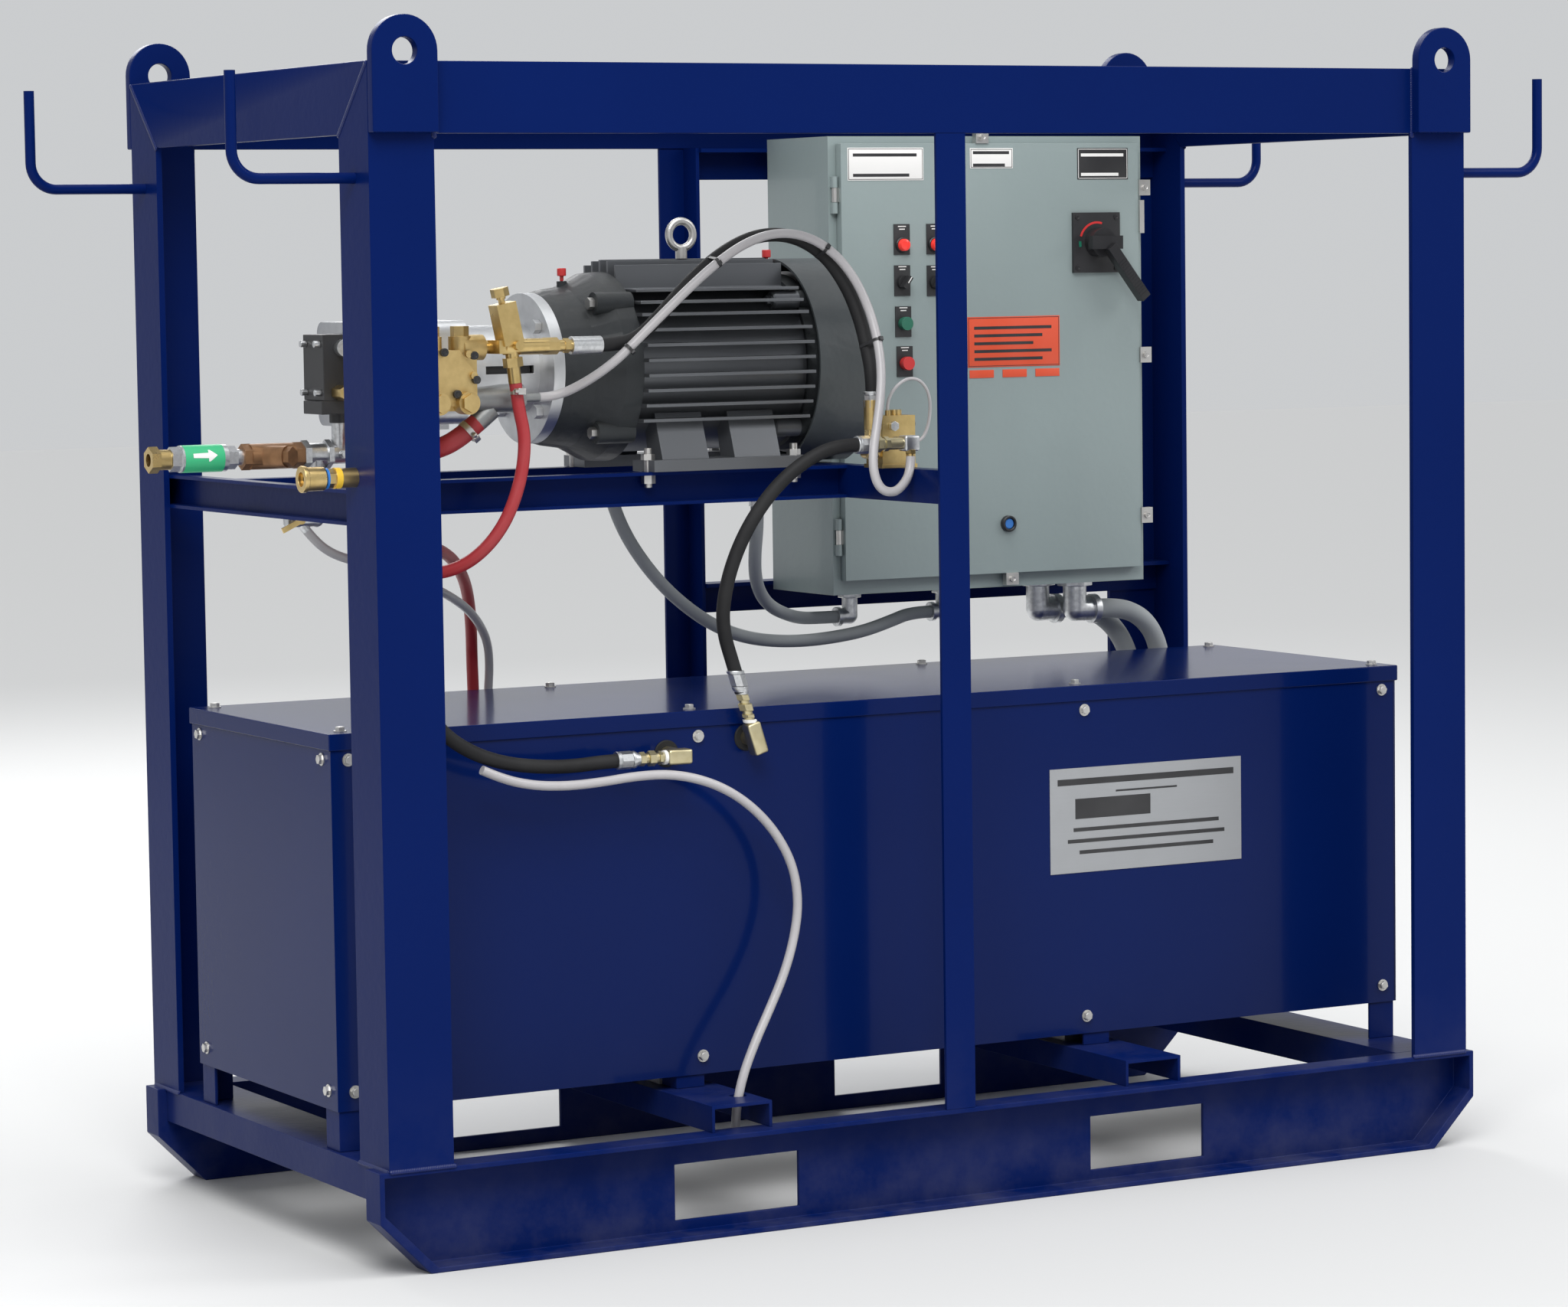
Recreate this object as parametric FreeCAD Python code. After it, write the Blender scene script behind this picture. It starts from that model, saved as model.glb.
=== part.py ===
import FreeCAD, Part
import math
import os

# Cage-framed electric hot-water pressure washer on a fork-pocket skid.
# Millimetres. X runs along the skid, -Y is the front, +Z is up.
# The origin is on the floor under the middle of the cage.

# Cage
CAGE_L = 1900.0
CAGE_W = 895.0
RUNNER_H = 152.4
RAIL_TOP = 1725.0
ANGLE = 101.6
ANGLE_T = 9.5
MID_ANGLE = 50.8
MID_T = 6.4
RUNNER_FLANGE = 50.8
RUNNER_T = 8.0
RUNNER_OVERHANG = 15.0
CHAMFER = 78.0
POCKET_W = 210.0
POCKET_H = 84.0
POCKET_Z = 66.0
POCKET_X = 364.5
CHANNEL_W = 101.6
CHANNEL_H = 40.0
CHANNEL_T = 5.0
DRAIN_X = -337.0
DRAIN_Y = -359.0
LUG_T = 19.0
LUG_RISE = 64.0
LUG_DROP = 101.0
LUG_HOLE = 38.0
HOOK_R = 8.0
HOOK_REACH = 185.0
HOOK_RISE = 150.0
HOOK_Z = 1562.0
HOOK_BEND = 40.0

# Deck
DECK_TOP = 1120.0
BEAM_H = 50.8
BEAM_T = 5.0
BEAM_FLANGE = 25.4
RAIL_FLANGE = 34.0

# Motor (shaft height and foot bolt spacings of a 256 frame)
SHAFT_H = 158.75
MOTOR_X = -224.0
FOOT_PITCH = 254.0
CFACE_X = -482.0
COWL_END_X = 40.0
COWL_R = 162.0
COWL_T = 4.0
FAN_GAP = 16.0
REAR_GAP = 20.0
BODY_R = 132.0
FIN_R = 166.0
SHAFT_R = 20.6
LUG_PITCH = 98.0
LUG_REACH = 62.0
FLANGE_R = 115.0
TUBE_R = 67.0
RUN_GAP = 0.05

# Pump
PUMP_X0 = -800.0
PUMP_X1 = -618.0
MANIFOLD_X0 = -800.0
MANIFOLD_X1 = -660.0
MANIFOLD_Y = -206.0
PLUNGER_PITCH = 46.0
PLUNGER_R = 10.0
SUCTION_Y = -152.0
SUCTION_Z = 1239.0
SUCTION_TAIL = (-646, -146, 1204)
UNLOADER_Y = -196.0
UNLOADER_Z = 1316.0

# Inlet and outlet
INLET_Y = -41.0
INLET_Z = 1160.0
OUTLET_Y = -380.0
OUTLET_Z = 1140.0

# Heater cover
COVER_W = 533.0
LID_TOP = 765.0
LID_LIP = 25.0
SHEET = 3.0
PANEL_BOTTOM = 212.0
LEG_W = 48.0
VESSEL_RIM = 10.0
VESSEL_GAP = 8.0
PLATE_W = 362.0
PLATE_H = 166.0
PLATE_X = 460.0
PLATE_Z = 552.0

# Enclosure
CONDUIT_TOP = 1207.0
ENC_X0 = 149.0
ENC_W = 604.0
ENC_Z0 = 891.0
ENC_H = 746.0
ENC_D = 203.0
ENC_BACK = 389.0
ENC_SHEET = 2.0
DOOR_T = 16.0
DOOR_GAP = 2.0
HINGE_X = 156.5
HINGE_R = 5.0
HINGE_PIN = 2.2
DISCONNECT_INSET = 103.0

# Relief block and hose ends
RELIEF_X = -40.0
RELIEF_Y = -300.0
HOSE_A_END = (-59.0, -307.0, 1225.0)
HOSE_B_START = (-108.0, -340.0, 1159.0)
HOSE_B_END = (-285.0, -292.0, 792.0)
HOSE_B_LEAD = (12.0, 0.0, -38.0)
HOSE_C_END = (-475.0, -312.0, 703.0)

AXIS_Z = DECK_TOP + SHAFT_H
HALF_L = CAGE_L / 2
HALF_W = CAGE_W / 2
REAR_R = COWL_R - COWL_T - REAR_GAP
COVER_Y = COVER_W / 2
LEG_Y = COVER_Y - 2 * SHEET - 0.5
VESSEL_Y = (LEG_Y - LEG_W) / 2 + VESSEL_GAP / 4
VESSEL_R = VESSEL_Y - VESSEL_GAP / 2 - VESSEL_RIM
X = (1, 0, 0)
Y = (0, 1, 0)
Z = (0, 0, 1)


def vec(p):
    return FreeCAD.Vector(*p)


def box(x0, x1, y0, y1, z0, z1):
    return Part.makeBox(x1 - x0, y1 - y0, z1 - z0, vec((x0, y0, z0)))


def cyl(p, axis, r, length):
    return Part.makeCylinder(r, length, vec(p), vec(axis))


def cone(p, axis, r1, r2, length):
    return Part.makeCone(r1, r2, length, vec(p), vec(axis))


def tube(p, axis, r, r_in, length):
    return cyl(p, axis, r, length).cut(cyl(p, axis, r_in, length))


def prism(points, extrude):
    wire = Part.makePolygon([vec(p) for p in points + points[:1]])
    return Part.Face(wire).extrude(vec(extrude))


def hexagon(p, axis, flats, length):
    n = vec(axis).normalize()
    side = n.cross(vec(X) if abs(n.x) < 0.9 else vec(Y)).normalize()
    up = n.cross(side)
    r = flats / math.sqrt(3)
    pts = []
    for k in range(6):
        a = math.radians(60 * k)
        q = vec(p) + side * (r * math.cos(a)) + up * (r * math.sin(a))
        pts.append((q.x, q.y, q.z))
    return prism(pts, tuple(n * length))


def fuse(shapes):
    out = shapes[0]
    for s in shapes[1:]:
        out = out.fuse(s)
    return out.removeSplitter()


def mirror_x(shape):
    return shape.mirror(vec((0, 0, 0)), vec(X))


def mirror_y(shape):
    return shape.mirror(vec((0, 0, 0)), vec(Y))


def quadrants(shape):
    pair = [shape, mirror_x(shape)]
    return pair + [mirror_y(s) for s in pair]


def rotated(shape, at, axis, degrees):
    out = shape.copy()
    out.rotate(vec(at), vec(axis), degrees)
    return out


def save(name, shapes):
    solids = []
    for s in shapes:
        solids += s.Solids
    for s in solids:
        if not s.isValid() or s.Volume <= 0:
            print("BAD SOLID", name, s.Volume)
    body = solids[0] if len(solids) == 1 else Part.makeCompound(solids)
    body.exportStep("parts/" + name + ".step")


def cord(name, points, r):
    """A plain round cord: straight runs joined by tangent arcs."""
    pts = [vec(p) for p in points]
    runs = [pts[i + 1] - pts[i] for i in range(len(pts) - 1)]
    here = pts[0]
    edges = []
    radii = []
    for i in range(1, len(pts) - 1):
        a = FreeCAD.Vector(runs[i - 1]).normalize()
        b = FreeCAD.Vector(runs[i]).normalize()
        t = 0.45 * min(runs[i - 1].Length, runs[i].Length)
        half = a.getAngle(b) / 2
        rad = t / math.tan(half)
        radii.append(rad)
        start = pts[i] - a * t
        end = pts[i] + b * t
        inward = (b - a).normalize()
        middle = pts[i] + inward * (math.hypot(rad, t) - rad)
        edges.append(Part.LineSegment(here, start).toShape())
        edges.append(Part.Arc(start, middle, end).toShape())
        here = end
    edges.append(Part.LineSegment(here, pts[-1]).toShape())
    wire = Part.Wire(edges)
    ring = Part.Wire([Part.makeCircle(r, pts[0], runs[0])])
    body = wire.makePipeShell([ring], True, False)
    ratio = body.Volume / (math.pi * r * r * wire.Length)
    print(name, "length", round(wire.Length), "min radius", round(min(radii)), "volume ratio", round(ratio, 4))
    save(name, [body])


# ---------------------------------------------------------------- cage

def runner_outline(inset):
    x = HALF_L + RUNNER_OVERHANG - inset
    c = CHAMFER - inset * (2 - math.sqrt(2)) + inset
    z0 = inset
    z1 = RUNNER_H - inset
    left = [(-x, z1), (-x, z0 + c), (-x + c, z0)]
    return left + [(-p[0], p[1]) for p in reversed(left)]


def skid_runner():
    web = HALF_W - RUNNER_FLANGE
    outer = prism([(p[0], web, p[1]) for p in runner_outline(0)], (0, RUNNER_FLANGE, 0))
    hollow = prism([(p[0], web + RUNNER_T, p[1]) for p in runner_outline(RUNNER_T)], (0, RUNNER_FLANGE, 0))
    body = outer.cut(hollow)
    for s in (-1, 1):
        x = s * POCKET_X
        body = body.cut(box(x - POCKET_W / 2, x + POCKET_W / 2, web - 1, web + RUNNER_T + 1,
                            POCKET_Z - POCKET_H / 2, POCKET_Z + POCKET_H / 2))
    return body


def base_channels():
    inner = HALF_W - RUNNER_FLANGE
    cross = box(-HALF_L, -HALF_L + ANGLE, -inner, inner, RUNNER_H - BEAM_H, RUNNER_H)
    cross = cross.cut(box(-HALF_L + CHANNEL_T, -HALF_L + ANGLE - CHANNEL_T, -inner, inner,
                          RUNNER_H - BEAM_H - 1, RUNNER_H - CHANNEL_T))
    x = -POCKET_X
    y = HALF_W - 25
    top = RUNNER_H + CHANNEL_H
    fork = box(x - CHANNEL_W / 2, x + CHANNEL_W / 2, -y, y, RUNNER_H, top)
    fork = fork.cut(box(x - CHANNEL_W / 2 + CHANNEL_T, x + CHANNEL_W / 2 - CHANNEL_T, -y, y,
                        RUNNER_H - 1, top - CHANNEL_T))
    drain = cyl((DRAIN_X, DRAIN_Y, RUNNER_H + 10), Z, 13, CHANNEL_H)
    return [cross, mirror_x(cross), fork.cut(drain), mirror_x(fork)]


def corner_post():
    x = -HALF_L
    y = -HALF_W
    outer = box(x, x + ANGLE, y, y + ANGLE, RUNNER_H, RAIL_TOP)
    post = outer.cut(box(x + ANGLE_T, x + ANGLE, y + ANGLE_T, y + ANGLE, RUNNER_H, RAIL_TOP))
    top = RAIL_TOP
    wedge_x = prism([(x, y - 1, top), (x + ANGLE, y - 1, top - ANGLE), (x + ANGLE, y - 1, top)],
                    (0, ANGLE + 2, 0))
    wedge_y = prism([(x - 1, y, top), (x - 1, y + ANGLE, top - ANGLE), (x - 1, y + ANGLE, top)],
                    (ANGLE + 2, 0, 0))
    return post.cut(wedge_x).cut(wedge_y)


def angle_rail(half_len, half_off):
    """An angle rail along X on the -Y side, mitred in plan at both ends."""
    y = -half_off
    top = RAIL_TOP
    legs = box(-half_len, half_len, y, y + ANGLE_T, top - ANGLE, top)
    legs = legs.fuse(box(-half_len, half_len, y, y + ANGLE, top - ANGLE_T, top)).removeSplitter()
    for s in (-1, 1):
        cut = prism([(s * half_len, y, top - ANGLE - 1), (s * (half_len - ANGLE), y + ANGLE, top - ANGLE - 1),
                     (s * half_len, y + ANGLE, top - ANGLE - 1)], (0, 0, ANGLE + 2))
        legs = legs.cut(cut)
    return legs


def top_rails(posts):
    front = angle_rail(HALF_L, HALF_W)
    side = rotated(angle_rail(HALF_W, HALF_L), (0, 0, 0), Z, -90)
    rails = [front, mirror_y(front), side, mirror_x(side)]
    out = []
    for r in rails:
        for p in posts:
            r = r.cut(p)
        out.append(max(r.Solids, key=lambda s: s.Volume))
    return out


def middle_post():
    y = -HALF_W
    top = RAIL_TOP - ANGLE
    x0 = -MID_ANGLE / 2
    x1 = MID_ANGLE / 2
    return fuse([box(x0, x1, y, y + MID_T, RUNNER_H, top),
                 box(x1 - MID_T, x1, y, y + MID_ANGLE, RUNNER_H, top)])


def lifting_lug():
    x = -HALF_L + ANGLE / 2
    z = RAIL_TOP + LUG_RISE - ANGLE / 2
    y = -HALF_W - LUG_T
    plate = box(-HALF_L, -HALF_L + ANGLE, y, -HALF_W, RAIL_TOP - LUG_DROP, z)
    plate = plate.fuse(cyl((x, y, z), Y, ANGLE / 2, LUG_T)).removeSplitter()
    return plate.cut(cyl((x, y - 1, z), Y, LUG_HOLE / 2, LUG_T + 2))


def hose_hook():
    y = -HALF_W + ANGLE / 2
    x1 = -HALF_L - HOOK_REACH
    bend = (x1 + HOOK_BEND, y, HOOK_Z)
    mid = HOOK_BEND * (1 - math.sqrt(0.5))
    edges = [Part.LineSegment(vec((-HALF_L, y, HOOK_Z)), vec(bend)).toShape(),
             Part.Arc(vec(bend), vec((x1 + mid, y, HOOK_Z + mid)), vec((x1, y, HOOK_Z + HOOK_BEND))).toShape(),
             Part.LineSegment(vec((x1, y, HOOK_Z + HOOK_BEND)), vec((x1, y, HOOK_Z + HOOK_RISE))).toShape()]
    ring = Part.Wire([Part.makeCircle(HOOK_R, vec((-HALF_L, y, HOOK_Z)), vec(X))])
    return Part.Wire(edges).makePipeShell([ring], True, False)


# ---------------------------------------------------------------- deck

def channel_y(x_web, toe, y0, y1):
    """A channel along Y, web at x_web, flanges pointing towards toe."""
    x0, x1 = sorted((x_web, toe))
    out = box(x0, x1, y0, y1, DECK_TOP - BEAM_H, DECK_TOP)
    a = x0 + BEAM_T if x_web < toe else x0
    b = x1 if x_web < toe else x1 - BEAM_T
    return out.cut(box(a, b, y0, y1, DECK_TOP - BEAM_H + BEAM_T, DECK_TOP - BEAM_T))


def deck_beams():
    left_toe = -HALF_L + ANGLE_T
    left_web = left_toe + BEAM_FLANGE
    right_web = -12.0
    reach = HALF_W - ANGLE_T
    left = channel_y(left_web, left_toe, -reach, reach)
    right_toe = MID_ANGLE / 2 - MID_T
    right = channel_y(right_web, right_toe, -HALF_W + MID_T, HALF_W - MID_T)
    toe = -FOOT_PITCH / 2 - 18
    web = toe + RAIL_FLANGE
    rail = box(left_web, right_web, toe, web, DECK_TOP - BEAM_H, DECK_TOP)
    rail = rail.cut(box(left_web, right_web, toe, web - BEAM_T, DECK_TOP - BEAM_H + BEAM_T, DECK_TOP - BEAM_T))
    for s in (-1, 1):
        rail = rail.cut(cyl((MOTOR_X + s * FOOT_PITCH / 2, -FOOT_PITCH / 2, DECK_TOP - 20), Z, 7.5, 30))
    back = HALF_W - ANGLE_T
    rails = []
    for z in (ENC_Z0 + 14, ENC_Z0 + ENC_H - 14):
        x0 = MID_ANGLE / 2
        x1 = HALF_L - ANGLE_T
        rails.append(fuse([box(x0, x1, back - MID_T, back, z - MID_ANGLE, z),
                           box(x0, x1, ENC_BACK, back, z - MID_T, z)]))
    return [left, right, rail, mirror_y(rail)] + rails


# ---------------------------------------------------------------- heater cover

def cover_lid():
    lid = box(-HALF_L, HALF_L, -COVER_Y, COVER_Y, LID_TOP - LID_LIP, LID_TOP)
    return lid.cut(box(-HALF_L + SHEET, HALF_L - SHEET, -COVER_Y + SHEET, COVER_Y - SHEET,
                       LID_TOP - LID_LIP - 1, LID_TOP - SHEET))


def cover_panels():
    y = -COVER_Y + SHEET + 0.5
    x = -HALF_L + SHEET + 0.5
    top = LID_TOP - SHEET
    plain = box(x + SHEET, -x - SHEET, y, y + SHEET, PANEL_BOTTOM, top)
    front = plain
    for foot in bulkhead_holes():
        front = front.cut(cyl((foot.x, y - 1, foot.z), Y, 9, SHEET + 2))
    end = box(x, x + SHEET, y, -y, PANEL_BOTTOM, top)
    return [front, mirror_y(plain), end, mirror_x(end)]


def cover_leg(x, y, foot, sx, sy):
    """An angle leg with its corner at x, y and legs running sx and sy."""
    top = LID_TOP - SHEET
    t = 5.0
    xs = sorted((x, x + sx * LEG_W))
    ys = sorted((y, y + sy * LEG_W))
    xt = sorted((x, x + sx * t))
    yt = sorted((y, y + sy * t))
    return fuse([box(xs[0], xs[1], yt[0], yt[1], foot, top), box(xt[0], xt[1], ys[0], ys[1], foot, top)])


def cover_legs():
    x = -HALF_L + 2 * SHEET + 0.5
    y = -LEG_Y
    corner = cover_leg(x, y, RUNNER_H, 1, 1)
    inner = cover_leg(-POCKET_X - 24, y, RUNNER_H + CHANNEL_H, 1, 1)
    return quadrants(corner) + quadrants(inner)


def cover_bolts():
    out = []
    y = -COVER_Y + SHEET + 0.5
    x_end = -HALF_L + SHEET + 0.5
    columns = (-HALF_L + 31, -POCKET_X + 20, POCKET_X - 20, HALF_L - 31)
    for x in columns:
        for z in (LID_TOP - 39, PANEL_BOTTOM + 28):
            bolt = hexagon((x, y, z), (0, -1, 0), 13, 7)
            out += [bolt, mirror_y(bolt)]
        bolt = hexagon((x, -COVER_Y + 30, LID_TOP), Z, 13, 8)
        out += [bolt, mirror_y(bolt)]
    for z in (LID_TOP - 39, PANEL_BOTTOM + 28):
        bolt = hexagon((x_end, y + 31, z), (-1, 0, 0), 13, 7)
        out += quadrants(bolt)
    return out


def heater_vessel():
    """Two horizontal heating vessels with flanged ends, saddles and element rods."""
    out = []
    zc = 470.0
    x0 = -HALF_L + 130
    x1 = HALF_L - 130
    for s in (-1, 1):
        y = s * VESSEL_Y
        bore = VESSEL_R - 6
        shell = tube((x0, y, zc), X, VESSEL_R, bore, x1 - x0)
        shell = fuse([shell, tube((x0, y, zc), X, VESSEL_R + VESSEL_RIM, bore, 16),
                      tube((x1 - 16, y, zc), X, VESSEL_R + VESSEL_RIM, bore, 16)])
        head = cyl((x0 - 14, y, zc), X, VESSEL_R + VESSEL_RIM, 14)
        blind = cyl((x1, y, zc), X, VESSEL_R + VESSEL_RIM, 14)
        for k in range(3):
            a = math.radians(120 * k + 90)
            p = (x0, y + 45 * math.cos(a), zc + 45 * math.sin(a))
            out.append(cyl(p, X, 6, 1500))
        cap = cyl((x0 - 54, y, zc), X, 60, 40)
        out += [shell, head, blind, cap]
    for x in (-POCKET_X, POCKET_X):
        base = RUNNER_H + CHANNEL_H
        reach = VESSEL_Y + VESSEL_R + 3
        saddle = box(x - 25, x + 25, -reach, reach, base, zc - 40)
        for s in (-1, 1):
            saddle = saddle.cut(cyl((x - 26, s * VESSEL_Y, zc), X, VESSEL_R, 52))
        out.append(saddle)
    return out


# ---------------------------------------------------------------- motor

def motor_frame():
    x0 = MOTOR_X - 140
    x1 = MOTOR_X + 150
    body = cyl((x0, 0, AXIS_Z), X, BODY_R, x1 - x0)
    reach = FIN_R
    parts = [body]
    for k in range(-3, 5):
        z = AXIS_Z - 12 + 23.0 * k
        dz = z - AXIS_Z
        w = math.sqrt(max(reach ** 2 - dz ** 2, 0)) - 4
        parts.append(box(x0, x1, -w, w, z - 2.5, z + 2.5))
    for k in range(-2, 3):
        y = 26.0 * k
        w = math.sqrt(reach ** 2 - y ** 2)
        parts.append(box(x0, x1, y - 2.5, y + 2.5, AXIS_Z, AXIS_Z + w - 2))
    for s in (-1, 1):
        parts.append(box(x0 + 10, x1 - 10, s * 118 - 36, s * 118 + 36, DECK_TOP, DECK_TOP + 18))
        for x in (MOTOR_X - 70, MOTOR_X + 55):
            foot = prism([(x - 40, s * 100, DECK_TOP), (x - 40, s * 150, DECK_TOP),
                          (x - 40, s * 118, AXIS_Z - 70), (x - 40, s * 80, AXIS_Z - 70)], (80, 0, 0))
            parts.append(foot)
    solid = fuse(parts)
    solid = solid.cut(cyl((x0 - 1, 0, AXIS_Z), X, BODY_R - 12, x1 - x0 + 2))
    for s in (-1, 1):
        for q in (-1, 1):
            solid = solid.cut(cyl((MOTOR_X + s * FOOT_PITCH / 2, q * FOOT_PITCH / 2, DECK_TOP - 1), Z, 7.5, 30))
    stator = tube((MOTOR_X - 90, 0, AXIS_Z), X, BODY_R - 12, 72, 190)
    coils = [tube((MOTOR_X - 125, 0, AXIS_Z), X, 112, 76, 35), tube((MOTOR_X + 100, 0, AXIS_Z), X, 112, 76, 35)]
    box_z = AXIS_Z - 60
    cover = box(MOTOR_X - 110, MOTOR_X + 40, FIN_R - 2, FIN_R + 90, box_z, box_z + 130)
    cover = cover.cut(box(MOTOR_X - 105, MOTOR_X + 35, FIN_R + 4, FIN_R + 85, box_z + 5, box_z + 125))
    neck = box(MOTOR_X - 60, MOTOR_X - 10, BODY_R - 4, FIN_R - 2, AXIS_Z - 20, AXIS_Z + 40)
    return [solid.fuse(neck.cut(cyl((x0, 0, AXIS_Z), X, BODY_R - 6, 400))).removeSplitter(), stator] + coils + [cover]


def end_bells():
    """Front and rear end bells of the motor with bearing bores and four lugs each."""
    xf = MOTOR_X - 140
    pts = [(CFACE_X, FLANGE_R), (CFACE_X + 14, FLANGE_R + 4), (xf - 70, BODY_R - 8), (xf - 30, BODY_R + 12),
           (xf, BODY_R + 14), (xf, 0), (CFACE_X, 0)]
    face = Part.Face(Part.makePolygon([vec((p[0], 0, AXIS_Z + p[1])) for p in pts + pts[:1]]))
    front = face.revolve(vec((0, 0, AXIS_Z)), vec(X), 360)
    front = front.cut(cyl((xf - 85, 0, AXIS_Z), X, BODY_R - 22, 90))
    front = front.cut(cyl((CFACE_X - 1, 0, AXIS_Z), X, SHAFT_R + RUN_GAP, 200))
    xr = MOTOR_X + 150
    rear = cyl((xr, 0, AXIS_Z), X, REAR_R, 26).cut(cyl((xr - 1, 0, AXIS_Z), X, REAR_R - 28, 14))
    rear_pitch = REAR_R * math.sqrt(0.5)
    rear = rear.cut(cyl((xr, 0, AXIS_Z), X, SHAFT_R + RUN_GAP, 40))
    for s in (-1, 1):
        for q in (-1, 1):
            y = s * LUG_PITCH
            z = AXIS_Z + q * LUG_PITCH
            front = front.fuse(cyl((xf - LUG_REACH, y, z), X, 17, LUG_REACH))
            rear = rear.fuse(cyl((xr, s * rear_pitch, AXIS_Z + q * rear_pitch), X, 15, 24))
    front = front.fuse(cyl((xf - 65, 0, AXIS_Z + 112), Z, 8, 20))
    return [front.removeSplitter(), rear.removeSplitter()]


def fan_cowl():
    x0 = MOTOR_X + 158
    inner = COWL_R - COWL_T
    cowl = cyl((x0, 0, AXIS_Z), X, COWL_R, COWL_END_X - x0)
    cowl = cowl.cut(cyl((x0 - 1, 0, AXIS_Z), X, inner, COWL_END_X - x0 - 3))
    for ring in range(1, 5):
        r = 22.0 * ring + 12
        count = 6 * ring
        for k in range(count):
            a = 2 * math.pi * k / count
            cowl = cowl.cut(cyl((COWL_END_X - 6, r * math.cos(a), AXIS_Z + r * math.sin(a)), X, 5.5, 10))
    flat = box(x0 - 1, COWL_END_X + 1, -COWL_R, COWL_R, DECK_TOP - COWL_R, DECK_TOP + 5)
    return cowl.cut(flat)


def motor_rotor():
    shaft = cyl((CFACE_X - 80, 0, AXIS_Z), X, SHAFT_R, COWL_END_X - 20 - (CFACE_X - 80))
    core = cyl((MOTOR_X - 90, 0, AXIS_Z), X, 71.2, 190)
    hub = cyl((MOTOR_X + 186, 0, AXIS_Z), X, 34, 36)
    fan_r = COWL_R - COWL_T - FAN_GAP
    blades = []
    for k in range(8):
        blade = box(MOTOR_X + 188, MOTOR_X + 220, -2, 2, AXIS_Z + 30, AXIS_Z + fan_r)
        blades.append(rotated(blade, (0, 0, AXIS_Z), X, 45 * k))
    disc = cyl((MOTOR_X + 186, 0, AXIS_Z), X, fan_r, 3)
    return [fuse([shaft, core]), fuse([hub, disc] + blades).cut(cyl((0, 0, AXIS_Z), (-1, 0, 0), SHAFT_R, 400))]


def motor_hardware():
    out = []
    eye_z = AXIS_Z + FIN_R - 2
    ring = Part.makeTorus(21, 6, vec((MOTOR_X + 3, 0, eye_z + 37)), vec(Y))
    stem = cyl((MOTOR_X + 3, 0, eye_z), Z, 9, 18)
    out.append(fuse([ring, stem]))
    for s in (-1, 1):
        for q in (-1, 1):
            lug_x = MOTOR_X - 140 - LUG_REACH
            out.append(hexagon((lug_x, s * LUG_PITCH, AXIS_Z + q * LUG_PITCH), (-1, 0, 0), 16, 9))
            x = MOTOR_X + s * FOOT_PITCH / 2
            y = q * FOOT_PITCH / 2
            bolt = fuse([cyl((x, y, DECK_TOP - 24), Z, 6, 60), hexagon((x, y, DECK_TOP + 18), Z, 19, 9),
                         hexagon((x, y, DECK_TOP - BEAM_T - 13), Z, 19, 13)])
            out.append(bolt)
    for x, base in ((MOTOR_X - 205, AXIS_Z + 132), (MOTOR_X + 154, AXIS_Z + REAR_R)):
        top = max(base + 8, AXIS_Z + COWL_R + 2 if x > MOTOR_X else 0)
        out.append(fuse([cyl((x, 0, base), Z, 3, top - base), cyl((x, 0, top), Z, 7, 12)]))
    return out


def bell_housing():
    disc = tube((CFACE_X - 19, 0, AXIS_Z), X, FLANGE_R, 40, 19)
    barrel = tube((PUMP_X1, 0, AXIS_Z), X, TUBE_R, TUBE_R - 8, CFACE_X - 19 - PUMP_X1)
    body = disc.fuse(barrel).removeSplitter()
    slot = box(CFACE_X - 110, CFACE_X - 30, -TUBE_R - 1, -TUBE_R + 12, AXIS_Z - 6, AXIS_Z + 6)
    body = body.cut(slot).cut(mirror_y(slot))
    heads = []
    for s in (-1, 1):
        for q in (-1, 1):
            p = (CFACE_X - 19, s * 64.5, AXIS_Z + q * 64.5)
            heads.append(hexagon(p, (-1, 0, 0), 19, 11))
    return [body] + heads


# ---------------------------------------------------------------- pump

def pump_crankcase():
    case = box(PUMP_X0, PUMP_X1, -58, 88, AXIS_Z - 80, AXIS_Z + 76)
    edges = [e for e in case.Edges if abs(e.Length - (PUMP_X1 - PUMP_X0)) < 0.1]
    case = case.makeFillet(18, edges)
    case = case.cut(box(PUMP_X0 + 10, PUMP_X1 - 10, -46, 78, AXIS_Z - 68, AXIS_Z + 66))
    case = case.cut(cyl((PUMP_X0 + 5, 0, AXIS_Z), X, SHAFT_R - 4 + RUN_GAP, 200))
    for k in (-1, 0, 1):
        x = (PUMP_X0 + PUMP_X1) / 2 + k * PLUNGER_PITCH
        case = case.cut(cyl((x, -60, AXIS_Z), Y, PLUNGER_R + 3, 20))
    feet = box(PUMP_X0 + 20, PUMP_X1 - 20, -30, 60, AXIS_Z - 88, AXIS_Z - 80)
    fill = cyl(((PUMP_X0 + PUMP_X1) / 2, 40, AXIS_Z + 76), Z, 12, 22)
    glass = cyl((PUMP_X0 - 5, 30, AXIS_Z - 30), X, 14, 5)
    return [fuse([case, feet]), fill, glass]


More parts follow.
